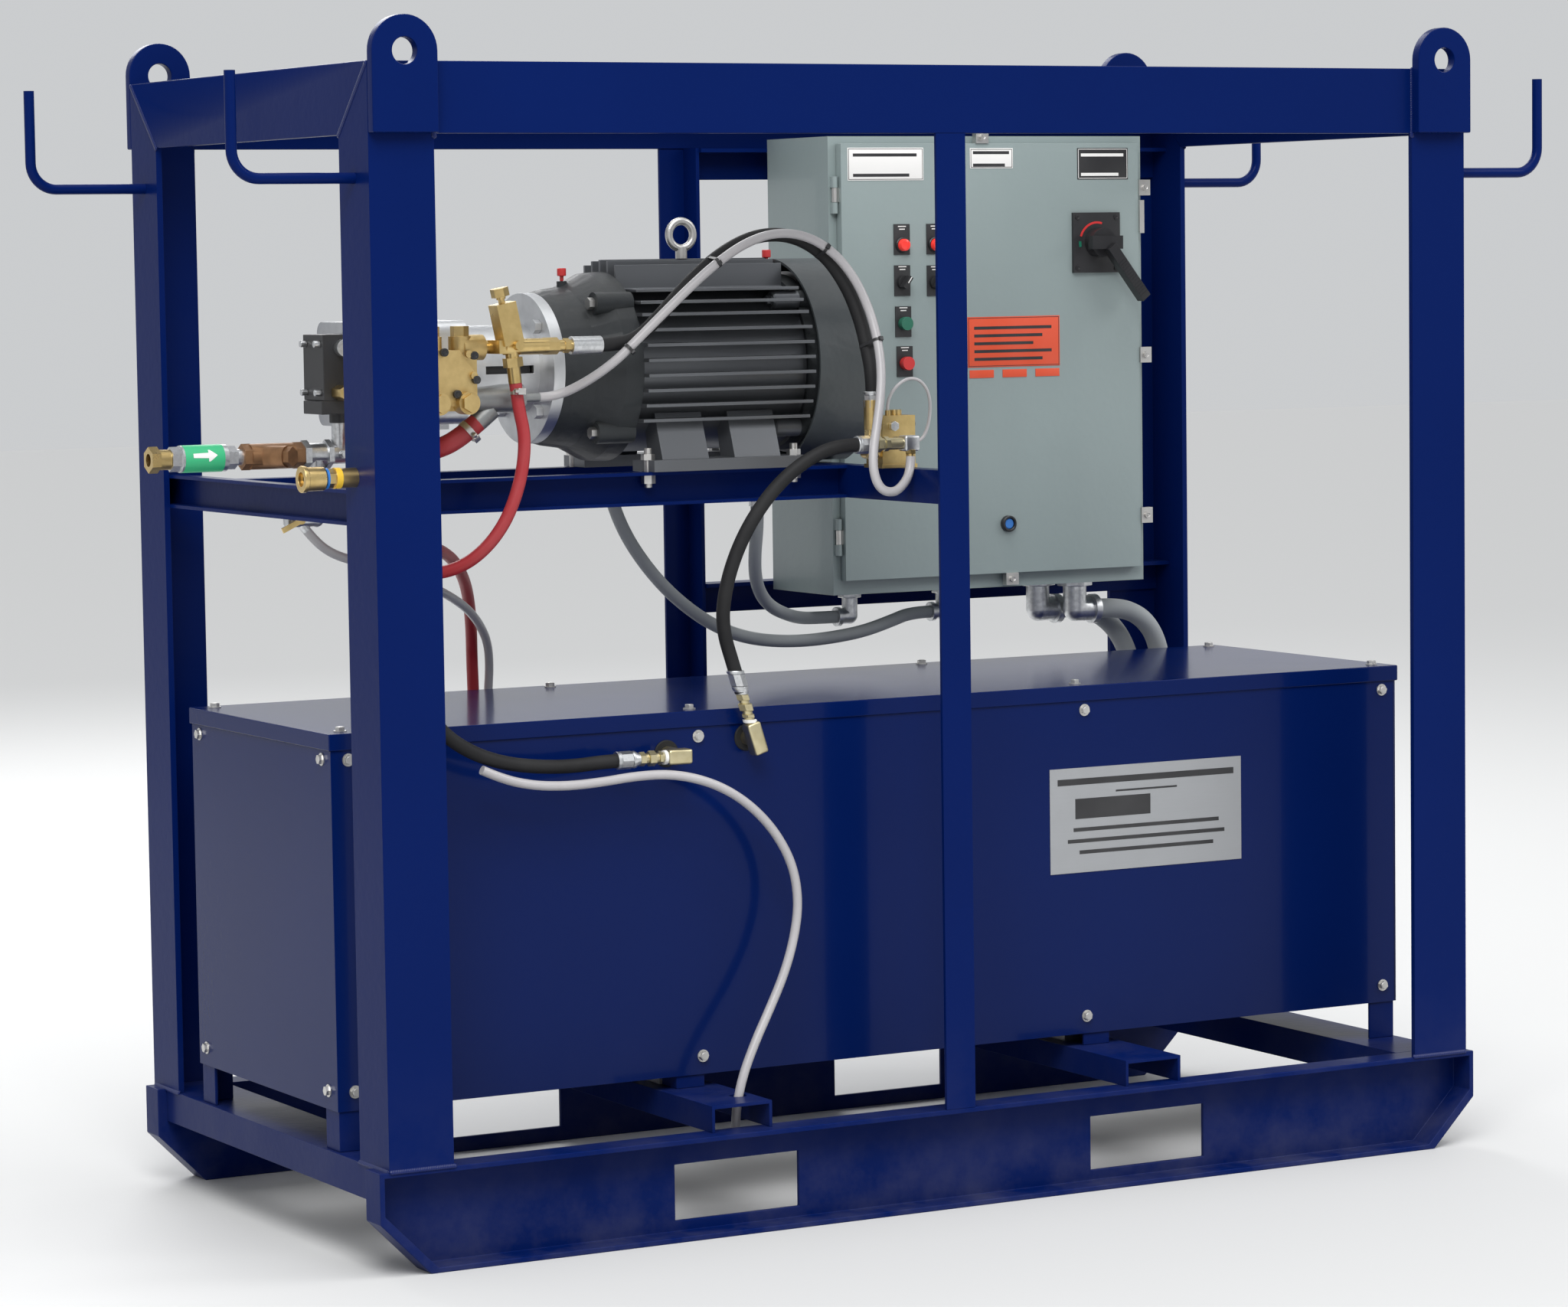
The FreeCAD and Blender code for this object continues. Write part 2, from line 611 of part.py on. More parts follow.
def pump_crankshaft():
    r = SHAFT_R - 4
    x0 = PUMP_X0 + 6
    parts = [cyl((x0, 0, AXIS_Z), X, r, 18)]
    xc = (PUMP_X0 + PUMP_X1) / 2
    for k in (-1, 0, 1):
        a = math.radians(120 * k)
        y = 12 * math.cos(a)
        z = AXIS_Z + 12 * math.sin(a)
        parts.append(cyl((xc + k * PLUNGER_PITCH - 12, y, z), X, 22, 24))
    parts.append(cyl((x0 + 16, 0, AXIS_Z), X, r - 2, PUMP_X1 - x0 + 25))
    coupling = tube((PUMP_X1 + 36, 0, AXIS_Z), X, 36, SHAFT_R, 22)
    jaw = fuse([cyl((PUMP_X1 + 9, 0, AXIS_Z), X, 36, 27)])
    return [fuse(parts).cut(cyl((PUMP_X1 + 9, 0, AXIS_Z), X, 60, 60)), jaw, coupling]


def plungers():
    """Three ceramic plungers drawn at mid stroke between the cranks and the manifold."""
    out = []
    xc = (PUMP_X0 + PUMP_X1) / 2
    for k in (-1, 0, 1):
        out.append(cyl((xc + k * PLUNGER_PITCH, -130, AXIS_Z), Y, PLUNGER_R, 92))
    return out


def pump_manifold():
    """Valve manifold with three valve chambers, top caps, a front plate and lower ports."""
    y0 = MANIFOLD_Y
    x0 = MANIFOLD_X0
    x1 = MANIFOLD_X1
    body = box(x0, x1, y0 + 28, -60, AXIS_Z - 56, AXIS_Z + 22)
    parts = [body]
    plate = []
    for x, z in ((x0 + 14, -40), (x1 - 30, -50), (x1 - 4, -6), (x1 - 34, 34), (x0 + 14, 34)):
        plate.append((x, y0 + 16, AXIS_Z + z))
    parts.append(prism(plate, (0, 14, 0)))
    for k in range(3):
        x = x1 - 20 - 48.0 * k
        parts.append(cyl((x, y0 + 44, AXIS_Z + 20), Z, 17, 34))
        parts.append(hexagon((x, y0 + 44, AXIS_Z + 54), Z, 24, 15))
        parts.append(cyl((x - 4, y0 + 30, AXIS_Z - 44), (0, -1, 0), 17, 26))
        parts.append(hexagon((x - 4, y0 + 5, AXIS_Z - 44), (0, -1, 0), 24, 8))
    parts.append(cyl((x1 - 20, y0 + 44, AXIS_Z + 37), X, 19, 36))
    for z in (28, -4):
        parts.append(cyl((x1 - 20 if z > 0 else x1 - 12, y0 + 16, AXIS_Z + z), (0, -1, 0), 5.5, 5))
    solid = fuse(parts)
    xc = (PUMP_X0 + PUMP_X1) / 2
    for k in (-1, 0, 1):
        solid = solid.cut(cyl((xc + k * PLUNGER_PITCH, -140, AXIS_Z), Y, PLUNGER_R + 0.4, 100))
    return [solid]


def suction_fitting():
    """Tapered suction pipe out of the manifold's right end with a hose tail and a small barb."""
    x0 = MANIFOLD_X1
    tail = vec((-30, 6, -26)).normalize()
    start = vec(SUCTION_TAIL) - tail * 30
    parts = [cone((x0, SUCTION_Y, SUCTION_Z), X, 16, 21, 50), cyl((x0 + 50, SUCTION_Y, SUCTION_Z), X, 21, 34),
             cyl((start.x, start.y, start.z), tuple(tail), 15, 30)]
    barb = cyl((x0 + 84, SUCTION_Y, SUCTION_Z), X, 7, 30)
    return [fuse(parts), barb]


def unloader():
    """Unloader valve: cross body, tilted block, lower hose tail and outlet adapters."""
    y = UNLOADER_Y
    z = UNLOADER_Z
    x0 = MANIFOLD_X1 + 16
    yc = MANIFOLD_Y + 44
    parts = [cyl((x0, yc, z), X, 10, 12)]
    link = box(x0 + 8, x0 + 30, y - 10, yc + 10, z - 10, z + 10)
    parts += [link, cyl((x0 + 20, y, z), X, 12, 70)]
    lean = 12.0
    block = box(-612 - 16, -612 + 16, y - 15, y + 15, z + 4, z + 66)
    block = rotated(block, (-612, y, z), Y, -lean)
    down = rotated(cyl((-612, y, z), (0, 0, -1), 10, 54), (-612, y, z), Y, -lean / 2)
    nut = rotated(hexagon((-612, y, z - 16), (0, 0, -1), 26, 14), (-612, y, z), Y, -lean / 2)
    stub = cyl((-608, y - 10, z + 2), (0, -1, 0), 7, 12)
    parts += [block, down, nut, stub]
    parts.append(hexagon((x0 + 84, y, z), X, 22, 24))
    parts.append(cyl((x0 + 108, y, z), X, 9, 22))
    parts.append(hexagon((x0 + 118, y, z), X, 19, 9))
    body = fuse(parts)
    axis = rotated(cyl((-612, y, z + 50), Z, 5 + RUN_GAP, 40), (-612, y, z), Y, -lean)
    crimp_x0 = x0 + 130
    crimp = tube((crimp_x0, y, z), X, 13.5, 4, -464 - crimp_x0)
    return [body.cut(axis), crimp]


def unloader_knob():
    y = UNLOADER_Y
    z = UNLOADER_Z
    stem = cyl((-612, y, z + 52), Z, 5, 24)
    head = fuse([cyl((-612, y, z + 72), Z, 7, 6), hexagon((-612, y, z + 76), Z, 24, 13)])
    return rotated(fuse([stem, head]), (-612, y, z), Y, -12)


# ---------------------------------------------------------------- inlet and outlet

def inlet_swivel():
    x0 = -1128.0
    body = hexagon((x0, INLET_Y, INLET_Z), X, 34, 14).fuse(cyl((x0 + 14, INLET_Y, INLET_Z), X, 15, 18))
    return body.removeSplitter().cut(cyl((x0 - 1, INLET_Y, INLET_Z), X, 9.5, 40))


def inlet_fittings():
    y = INLET_Y
    z = INLET_Z
    tail = tube((-1104, y, z), X, 9.45, 6, 12)
    check = fuse([hexagon((-1095.5, y, z), X, 32, 16), cyl((-1080, y, z), X, 20, 72),
                  hexagon((-1008, y, z), X, 30, 16), cyl((-992, y, z), X, 12, 10)])
    check = check.cut(cyl((-1100, y, z), X, 9.45, 12))
    tee = fuse([hexagon((-886, y, z), X, 38, 10), cyl((-877, y, z), X, 17, 30), hexagon((-848, y, z), X, 38, 8),
                cyl((-864, y, z), (0, 0, -1), 15, 30), hexagon((-864, y, z - 28), (0, 0, -1), 32, 10),
                cyl((-864, y, z - 38), (0, 0, -1), 9, 58), Part.makeSphere(12, vec((-864, y, z - 96))),
                cyl((-864, y, z - 96), (-1, 0, 0), 11, 44), hexagon((-905, y, z - 96), (-1, 0, 0), 20, 8)])
    valve = fuse([cyl((-840, y, z), X, 15, 30), cyl((-824, y, z), Z, 13, 22), cyl((-815, y, z), X, 13, 62),
                  hexagon((-782, y, z), X, 30, 10)])
    neck = cyl((-824, y, z + 22), Z, 11, 24)
    boss = cyl((-896, y - 10.5, z - 96), (0, -1, 0), 6, 6)
    lead = vec((16, 0, -19)).normalize()
    outlet = Part.makeCylinder(7, 18, vec((-880, y, 1048)) - lead * 18, lead)
    barbs = [cyl((-800, y, z - 10), (0, 0, -1), 8, 30), cyl((-770, y, z - 10), (0, 0, -1), 8, 30)]
    n = vec((12, -36, 0)).normalize()
    end = vec((-747, -62, 1158))
    root = end - n * 22
    tail_pipe = cyl((root.x, root.y, z - 2), tuple(n), 14, 22)
    ball = Part.makeSphere(14, vec((-754, y, z - 1)))
    header = fuse([valve] + barbs + [ball, tail_pipe])
    return [tail, check, fuse([tee, boss, outlet]), header, neck]


def strainer():
    """Bronze Y strainer with its screen leg pointing down and forward."""
    y = INLET_Y
    z = INLET_Z
    body = fuse([hexagon((-982, y, z), X, 34, 14), cyl((-970, y, z), X, 19, 70), hexagon((-900, y, z), X, 34, 14)])
    leg = rotated(cyl((-945, y, z), X, 16, 52), (-945, y, z), (0, 1, 0), 0)
    leg = cyl((-950, y, z), (0.55, -0.83, 0), 16, 46)
    cap = hexagon((-950 + 0.55 * 46, y - 0.83 * 46, z), (0.55, -0.83, 0), 26, 10)
    return [fuse([body, leg, cap])]


def valve_lever():
    y = INLET_Y - 15.2
    z = INLET_Z
    hub = cyl((-826, y, z), (0, -1, 0), 6, 14)
    arm = box(-830, -822, y - 14, y - 11, z - 4, z + 52)
    arm = rotated(arm, (-826, y, z), Y, 40)
    return fuse([hub, arm])


def drain_lever():
    y = INLET_Y - 16.8
    z = INLET_Z - 96
    hub = cyl((-896, y, z), (0, -1, 0), 6, 4)
    arm = box(-900, -892, y - 4, y - 1, z - 3, z + 34)
    arm = rotated(arm, (-896, y, z), Y, -115)
    return fuse([hub, arm])


def flow_switch():
    """Square flow switch block on the inlet riser with bolt heads, a plug and a hex cap."""
    y = INLET_Y
    z0 = INLET_Z + 58
    x0 = -862.0
    base = fuse([box(x0 - 4, -800, y - 34, y + 34, z0 + 2, z0 + 22), cyl((-824, y, z0 - 12), Z, 14, 16)])
    block = box(x0, -800, y - 34, y + 40, z0 + 22, z0 + 120)
    heads = []
    for dy in (-22, 28):
        for dz in (34, 106):
            heads.append(cyl((x0, y + dy, z0 + dz), (-1, 0, 0), 5, 10))
    plug = cyl((-832, y - 34, z0 + 100), (0, -1, 0), 13, 14)
    cap = hexagon((-840, y - 34, z0 + 34), (0, -1, 0), 20, 34)
    return [base, block, plug, cap] + heads


def outlet_coupler():
    y = OUTLET_Y
    z = OUTLET_Z
    core = fuse([cyl((-1028, y, z), X, 10, 34), hexagon((-994, y, z), X, 24, 10), cyl((-984, y, z), X, 14, 34),
                 cyl((-HALF_L + ANGLE_T, y, z), X, 12, 12), cyl((-HALF_L, y, z), X, 9, ANGLE_T)])
    core = core.cut(cyl((-1030, y, z), X, 6, 30))
    return [core, outlet_riser()]


def coupler_sleeve():
    y = OUTLET_Y
    z = OUTLET_Z
    sleeve = tube((-1034, y, z), X, 17, 10 + RUN_GAP, 34)
    return sleeve.fuse(tube((-1034, y, z), X, 19, 16, 7)).removeSplitter()


# ---------------------------------------------------------------- relief block and hose ends

def relief_block():
    """Brass thermal relief block on a bracket on the right deck beam."""
    y0 = RELIEF_Y
    x0 = RELIEF_X
    top = DECK_TOP + 80
    bracket = box(x0, x0 + 62, y0 - 2, y0 + 54, DECK_TOP, DECK_TOP + 6)
    block = box(x0 + 2, x0 + 60, y0, y0 + 50, DECK_TOP + 6, top)
    stud = cyl((x0 + 38, y0 + 25, top), Z, 11, 8)
    barb = cyl((-24, y0 + 8, top), Z, 4, 8)
    screw = hexagon((x0 + 20, y0, top - 16), (0, -1, 0), 14, 8)
    cap = cyl((x0 + 60, y0 + 20, top - 14), X, 8, 8)
    side = cyl((x0 + 60, y0 + 9, 1160), X, 4, 8)
    cx = HOSE_A_END[0]
    cy = HOSE_A_END[1]
    inlet = fuse([tube((cx, cy, 1180), Z, 13.5, 4, HOSE_A_END[2] - 1180), hexagon((cx, cy, 1162), Z, 22, 18),
                  cyl((cx, cy, 1144), Z, 10, 20), Part.makeSphere(11, vec((cx, cy, 1144))),
                  cyl((cx, cy, 1144), Y, 9, 22), cyl((cx, cy + 22, 1144), X, 9, x0 + 2 - cx),
                  Part.makeSphere(9, vec((cx, cy + 22, 1144)))])
    return [bracket, block, stud, barb, screw, cap, side, inlet]


def bulkhead_elbow(end, lead, back):
    """Crimp, adapter and elbow that run on from a hose end and turn back into the cover."""
    n = vec(lead).normalize()
    crimp = Part.makeCylinder(13.5, 42, vec(end), n).cut(Part.makeCylinder(4, 42, vec(end), n))
    mid = vec(end) + n * 42
    nut = hexagon(tuple(mid), tuple(n), 20, 12)
    foot = mid + n * 34
    pipe = Part.makeCylinder(9, 34, mid, n)
    turn = cyl(tuple(foot), Y, 11, back - foot.y)
    return fuse([crimp, nut, pipe, Part.makeSphere(12.5, foot), turn]), foot


def hose_fittings():
    """Hose tails and elbows that are fixed to the cover, the relief block and the cage."""
    y = -COVER_Y + SHEET + 0.5
    bx, by, bz = HOSE_B_START
    out = [fuse([tube((bx, by, bz), X, 13.5, 4, 34), hexagon((bx + 34, by, bz), X, 22, 22),
                 cyl((bx + 56, by, bz), X, 9, 30), box(bx + 80, bx + 106, by - 12, by + 12, bz - 12, bz + 12),
                 cyl((bx + 93, by, bz), Y, 9, RELIEF_Y - by),
                 cyl((bx + 84, by - 6, bz - 20), Z, 6.5, 10)])]
    for end, lead in ((HOSE_B_END, HOSE_B_LEAD), (HOSE_C_END, (1, 0, 0))):
        out.append(bulkhead_elbow(end, lead, y)[0])
    for x, r in ((-449.0, 7.0), (-424.0, 6.0)):
        out.append(fuse([cyl((x, 300, 636), Z, r, 24), Part.makeSphere(r, vec((x, 300, 636))),
                         cyl((x, 300, 636), (0, -1, 0), r, 300 + y)]))
    return out


def bulkhead_holes():
    feet = []
    for end, lead in ((HOSE_B_END, HOSE_B_LEAD), (HOSE_C_END, (1, 0, 0))):
        feet.append(vec(end) + vec(lead).normalize() * 76)
    return feet


# ---------------------------------------------------------------- enclosure

def enclosure_box():
    x1 = ENC_X0 + ENC_W
    z1 = ENC_Z0 + ENC_H
    y0 = ENC_BACK - ENC_D
    body = box(ENC_X0, x1, y0, ENC_BACK, ENC_Z0, z1)
    body = body.cut(box(ENC_X0 + ENC_SHEET, x1 - ENC_SHEET, y0 + ENC_SHEET, ENC_BACK - ENC_SHEET,
                        ENC_Z0 + ENC_SHEET, z1 - ENC_SHEET))
    lip = 26.0
    body = body.cut(box(ENC_X0 + lip, x1 - lip, y0 - 1, y0 + ENC_SHEET + 1, ENC_Z0 + lip, z1 - lip))
    y = hinge_y()
    for z in hinge_heights():
        body = body.fuse(cyl((HINGE_X, y, z - 30), Z, HINGE_PIN, 60))
        for low in (z - 30, z + 12):
            knuckle = cyl((HINGE_X, y, low), Z, HINGE_R, 18)
            leaf = box(HINGE_X - 4.5, HINGE_X - 0.5, y, y0, low, low + 18)
            body = body.fuse(knuckle).fuse(leaf)
    return [body.removeSplitter()]


def hinge_y():
    return door_y() - 6.0


def hinge_heights():
    return (ENC_Z0 + 95, ENC_Z0 + ENC_H - 95)


def door_knuckle(z):
    """The middle knuckle of one hinge, with its leaf against the door's left wall."""
    y = hinge_y()
    bore = cyl((HINGE_X, y, z - 13), Z, HINGE_PIN + RUN_GAP, 26)
    leaf = box(HINGE_X, ENC_X0 + 14, y - 3.5, y - 0.5, z - 11.5, z + 11.5)
    return cyl((HINGE_X, y, z - 11.5), Z, HINGE_R, 23).fuse(leaf).cut(bore)


def enclosure_internals():
    """Back plate, contactors, overloads, fuse block and the disconnect switch body."""
    y = ENC_BACK - ENC_SHEET - 14
    x0 = ENC_X0 + 40
    x1 = ENC_X0 + ENC_W - 40
    plate = box(x0, x1, y - 3, y, ENC_Z0 + 40, ENC_Z0 + ENC_H - 40)
    out = [plate]
    for s in (x0 + 30, x1 - 30):
        for z in (ENC_Z0 + 70, ENC_Z0 + ENC_H - 70):
            out.append(cyl((s, y, z), Y, 8, 14))
    for k in range(3):
        x = x0 + 40 + 95.0 * k
        out.append(box(x, x + 72, y - 88, y - 3, ENC_Z0 + 320, ENC_Z0 + 420))
        out.append(box(x, x + 72, y - 78, y - 3, ENC_Z0 + 235, ENC_Z0 + 319))
    out.append(box(x1 - 170, x1 - 50, y - 95, y - 3, ENC_Z0 + 480, ENC_Z0 + 640))
    out.append(box(x0 + 40, x0 + 300, y - 50, y - 3, ENC_Z0 + 80, ENC_Z0 + 130))
    return out


def door_y():
    return ENC_BACK - ENC_D - DOOR_GAP


def enclosure_door():
    x0 = ENC_X0 + 14
    x1 = ENC_X0 + ENC_W - 16
    z0 = ENC_Z0 + 24
    z1 = ENC_Z0 + ENC_H - 12
    y1 = door_y()
    pan = box(x0, x1, y1 - DOOR_T, y1, z0, z1)
    pan = pan.cut(box(x0 + 2, x1 - 2, y1 - DOOR_T + 2, y1 + 1, z0 + 2, z1 - 2))
    for name, (x, z, r) in door_holes().items():
        pan = pan.cut(cyl((x, y1 - DOOR_T - 1, z), Y, r + RUN_GAP, 4))
    return [pan]


def door_holes():
    return {
        "disconnect_handle": (ENC_X0 + ENC_W - DISCONNECT_INSET, 1460.0, 9.0),
        "selector_left": (275.0, 1399.0, 8.0),
        "selector_right": (337.0, 1398.0, 8.0),
        "start_button": (276.0, 1332.0, 10.0),
        "stop_button": (278.0, 1267.0, 10.0),
        "reset_button": (473.0, 997.0, 9.0),
    }


def door_fittings():
    """Screw clamps, hasp, disconnect plate, pilot lights, legend plates and blank labels."""
    face = door_y() - DOOR_T
    holes = door_holes()
    out = []

    def plate(x0, x1, z0, z1, t, hole=None):
        p = box(x0, x1, face - t, face, z0, z1)
        if hole:
            p = p.cut(cyl((hole[0], face - t - 1, hole[1]), Y, hole[2] + RUN_GAP, t + 2))
        out.append(p)

    hx, hz, hr = holes["disconnect_handle"]
    plate(hx - 46, hx + 46, hz - 50, hz + 50, 6, (hx, hz, hr))
    for name in ("selector_left", "selector_right", "start_button", "stop_button"):
        x, z, r = holes[name]
        plate(x - 15, x + 15, z - 22, z + 28, 2, (x, z, r))
    x, z, r = holes["reset_button"]
    out.append(tube((x, face, z), (0, -1, 0), 13, r + RUN_GAP, 4))
    for x in (275.0, 337.0):
        plate(x - 15, x + 15, 1466 - 22, 1466 + 28, 2)
        out.append(cyl((x, face - 2, 1460), (0, -1, 0), 10, 14))
    plate(175, 318, 1565, 1618, 0.8)
    plate(407, 490, 1584, 1617, 0.8)
    plate(hx - 34, hx + 66, 1565, 1617, 0.8)
    plate(399, 578, 1257, 1340, 0.8)
    edge = ENC_X0 + ENC_W - 16
    for z in (ENC_Z0 + 110, ENC_Z0 + 380, ENC_Z0 + 660):
        out.append(box(edge, edge + 22, face - 3, face + 9, z - 13, z + 13))
    out.append(box(edge, edge + 9, face - 4, face + 2, 1475, 1530))
    for x, z in ((430.0, ENC_Z0 + ENC_H - 12), (480.0, ENC_Z0 + 4)):
        out.append(box(x - 12, x + 12, face - 3, face + 9, z, z + 20))
    return out + [door_knuckle(z) for z in hinge_heights()]


def knob(x, z, r_stem, r_head, depth, gap):
    """A round operator: a stem through the door and a head in front of it."""
    face = door_y() - DOOR_T
    front = face - gap
    stem = cyl((x, face + 10, z), (0, -1, 0), r_stem, 10 + gap + 1)
    head = cyl((x, front, z), (0, -1, 0), r_head, depth)
    return fuse([stem, head])


def selector(name):
    x, z, r = door_holes()[name]
    face = door_y() - DOOR_T
    base = knob(x, z, r, 11, 6, 2.5)
    grip = box(x - 3.5, x + 3.5, face - 22, face - 8, z - 11, z + 11)
    return fuse([base, rotated(grip, (x, 0, z), Y, 35)])


def push_button(name):
    x, z, r = door_holes()[name]
    return knob(x, z, r, r + 1, 9, 6.5)


def disconnect_handle():
    x, z, r = door_holes()["disconnect_handle"]
    face = door_y() - DOOR_T - 6
    hub = fuse([cyl((x, face + 16, z), (0, -1, 0), r, 17), cyl((x, face - 0.5, z), (0, -1, 0), 24, 22)])
    bar = box(x - 30, x + 30, face - 34, face - 20, z - 11, z + 11)
    grip = box(x - 9, x + 9, face - 40, face - 22, z - 118, z - 8)
    grip = rotated(grip, (x, 0, z), Y, -38)
    return fuse([hub, bar, grip])


def conduit_elbow(x, y, out_z, r, dx):
    """An elbow from the enclosure floor to a conduit that leaves sideways."""
    top = ENC_Z0
    h = top - out_z
    nut = hexagon((x, y, top - 12), Z, 2.6 * r, 12)
    drop = cyl((x, y, out_z), Z, r, h - 6)
    side = cyl((x, y, out_z), (dx, 0, 0), r, 2.1 * r)
    ball = Part.makeSphere(r, vec((x, y, out_z)))
    collar = cyl((x + dx * 1.5 * r, y, out_z), (dx, 0, 0), 1.25 * r, 0.6 * r)
    return fuse([nut, drop, side, ball, collar])


def conduit_elbows():
    out = [conduit_elbow(234, 282, 848, 13, -1), conduit_elbow(415, 282, 848, 13, -1),
           conduit_elbow(676, 282, 838, 20, 1), conduit_elbow(630, 327, 838, 20, 1)]
    y = -COVER_Y + SHEET + 0.5
    for x, yy in ((868.0, 305.0), (824.0, 331.0)):
        out.append(fuse([cyl((x, yy, 640), Z, 20, 28), Part.makeSphere(20, vec((x, yy, 640))),
                         cyl((x, yy, 640), (0, -1, 0), 18, yy + y)]))
    junction = box(-95, -25.4, 30, 92, DECK_TOP - 58, DECK_TOP - 2)
    gland = cyl((-60, 60, 1050), Z, 13, DECK_TOP - 58 - 1050)
    tbox = cyl((MOTOR_X - 38, 200, CONDUIT_TOP), Z, 13, AXIS_Z - 60 - CONDUIT_TOP)
    return out + [junction, gland, tbox]


# ---------------------------------------------------------------- hoses and conduits

ROUTES = {
    "hose_pump_to_relief": (10.5, [
        (-464, -196, 1316), (-430, -196, 1316), (-394, -197, 1329), (-357, -202, 1366), (-316, -208, 1409),
        (-268, -215, 1450), (-212, -224, 1477), (-155, -234, 1477), (-107, -246, 1449), (-77, -261, 1402),
        (-62, -277, 1349), (-58, -292, 1300), (-59, -307, 1262), HOSE_A_END]),
    "hose_relief_to_heater": (10.5, [
        HOSE_B_START, (-142, -340, 1159), (-188, -335, 1141), (-233, -327, 1107), (-270, -318, 1061),
        (-297, -309, 1009), (-314, -301, 952), (-319, -296, 892), (-296.4, -292, 828), HOSE_B_END]),
    "hose_heater_to_outlet": (10.5, [
        (-884, -377.2, 1117), (-875, -373.2, 1083), (-868, -370, 1032), (-863, -369, 976), (-860, -368, 918),
        (-856, -366, 860), (-842, -361, 806), (-808, -353, 763), (-758, -342, 732), (-702, -329, 713),
        (-643, -319, 703), (-583, -312, 699), (-524, -312, 703), HOSE_C_END]),
    "hose_bypass_clear": (7.0, [
        (-546, -152, 1239), (-518, -152, 1239), (-484, -182, 1259), (-450, -213, 1289), (-411, -222, 1326),
        (-369, -226, 1364), (-329, -233, 1401), (-286, -240, 1437), (-240, -246, 1466), (-191, -253, 1481),
        (-141, -262, 1474), (-101, -273, 1447), (-73, -283, 1409), (-57, -296, 1364), (-53, -314, 1318),
        (-56, -332, 1272), (-64, -345, 1228), (-74, -354, 1186), (-85, -362, 1148), (-90, -369, 1114),
        (-78, -372, 1086), (-53, -370, 1078), (-32, -360, 1092), (-24, -346, 1116), (-24, -346, 1139)]),
    "hose_drain_open": (7.0, [
        (-744, -345, 707), (-710, -344, 691), (-657, -342, 678), (-602, -340, 674), (-547, -339, 676),
        (-491, -338, 681), (-436, -337, 681), (-381, -335, 670), (-330, -332, 649), (-284, -329, 617),
        (-247, -328, 577), (-220, -328, 528), (-212, -330, 473), (-222, -333, 419), (-243, -338, 366),
        (-271, -343, 317), (-302, -350, 268), (-328, -356, 218), (-343, -361, 166), (-345, -362, 122)]),
    "hose_bypass_red": (9.5, [
        (-606, -196, 1262), (-602.4, -196, 1228), (-594, -200, 1186), (-597, -200, 1141), (-609, -199, 1097),
        (-627, -195, 1055), (-653, -186, 1019), (-685, -170, 992), (-722, -147, 980), (-756, -118, 989),
        (-781, -86, 1014), (-797, -56, 1049), (-800, -41, 1088), (-800, -41, 1120)]),
    "hose_suction_red": (15.0, [
        SUCTION_TAIL, (-676, -140, 1178), (-710, -119, 1162), (-737, -92, 1158), (-747, -62, 1158)]),
    "hose_feed_red": (9.5, [
        (-770, -41, 1120), (-770, -41, 1086), (-750, -38, 1048), (-712, -24, 1026), (-672, 4, 1016),
        (-635, 39, 1008), (-600, 79, 998), (-566, 121, 984), (-534, 163, 964), (-505, 204, 938),
        (-481, 243, 905), (-463, 275, 864), (-453, 296, 815), (-449, 302, 765), (-449, 300, 713),
        (-449, 300, 660)]),
    "hose_strainer_drain": (7.0, [
        (-880, -41, 1048), (-866, -41, 1031), (-840, -38, 1012), (-802, -30, 999), (-761, -14, 990),
        (-721, 10, 978), (-682, 38, 966), (-644, 70, 954), (-606, 103, 942), (-568, 138, 928),
        (-531, 172, 912), (-496, 205, 893), (-464, 239, 869), (-437, 270, 839), (-423, 294, 799),
        (-423, 302, 754), (-424, 300, 707), (-424, 300, 660)]),
    "tube_relief_loop": (2.5, [
        (-24, -292, 1208), (-24, -292, 1218), (-20, -296, 1234), (-8, -301, 1249), (9, -304, 1257),
        (27, -304, 1253), (40, -303, 1239), (47, -300, 1221), (49, -296, 1203), (48, -293, 1186),
        (43, -291, 1170), (34, -291, 1160), (28, -291, 1160)]),
    "conduit_motor": (10.5, [
        (-262, 200, CONDUIT_TOP), (-262, 200, 1168), (-258, 200, 1112), (-246, 201, 1056), (-222, 203, 1004),
        (-188, 206, 957), (-147, 211, 914), (-100, 219, 878), (-49, 227, 848), (8, 236, 827),
        (67, 243, 817), (127, 249, 814), (187, 252, 817), (246, 256, 824), (304, 268, 837),
        (350, 282, 848), (387.7, 282, 848)]),
    "conduit_control": (10.5, [
        (-60, 60, 1050), (-60, 60, 1018), (-50, 88, 974), (-29, 127, 934), (3, 169, 901),
        (44, 208, 876), (91, 243, 860), (134, 270, 850), (172, 282, 848), (206.7, 282, 848)]),
    "conduit_heater_1": (16.5, [
        (718, 282, 838), (762, 282, 838), (806, 285, 824), (840, 293, 795), (860, 301, 756),
        (868, 305, 712), (868, 305, 668)]),
    "conduit_heater_2": (16.5, [
        (672, 327, 838), (716, 327, 838), (759, 328, 822), (794, 330, 792), (816, 331, 752),
        (824, 331, 708), (824, 331, 668)]),
}


def outlet_riser():
    """Elbow inside the corner post between the outlet coupler and its hose."""
    centre = vec((-890.4, OUTLET_Y, OUTLET_Z))
    lead = vec((9, 4, -34)).normalize()
    parts = [cyl((-928.5, OUTLET_Y, OUTLET_Z), X, 10, 38), Part.makeSphere(12, centre),
             Part.makeCylinder(10, 24, centre, lead)]
    return fuse(parts)


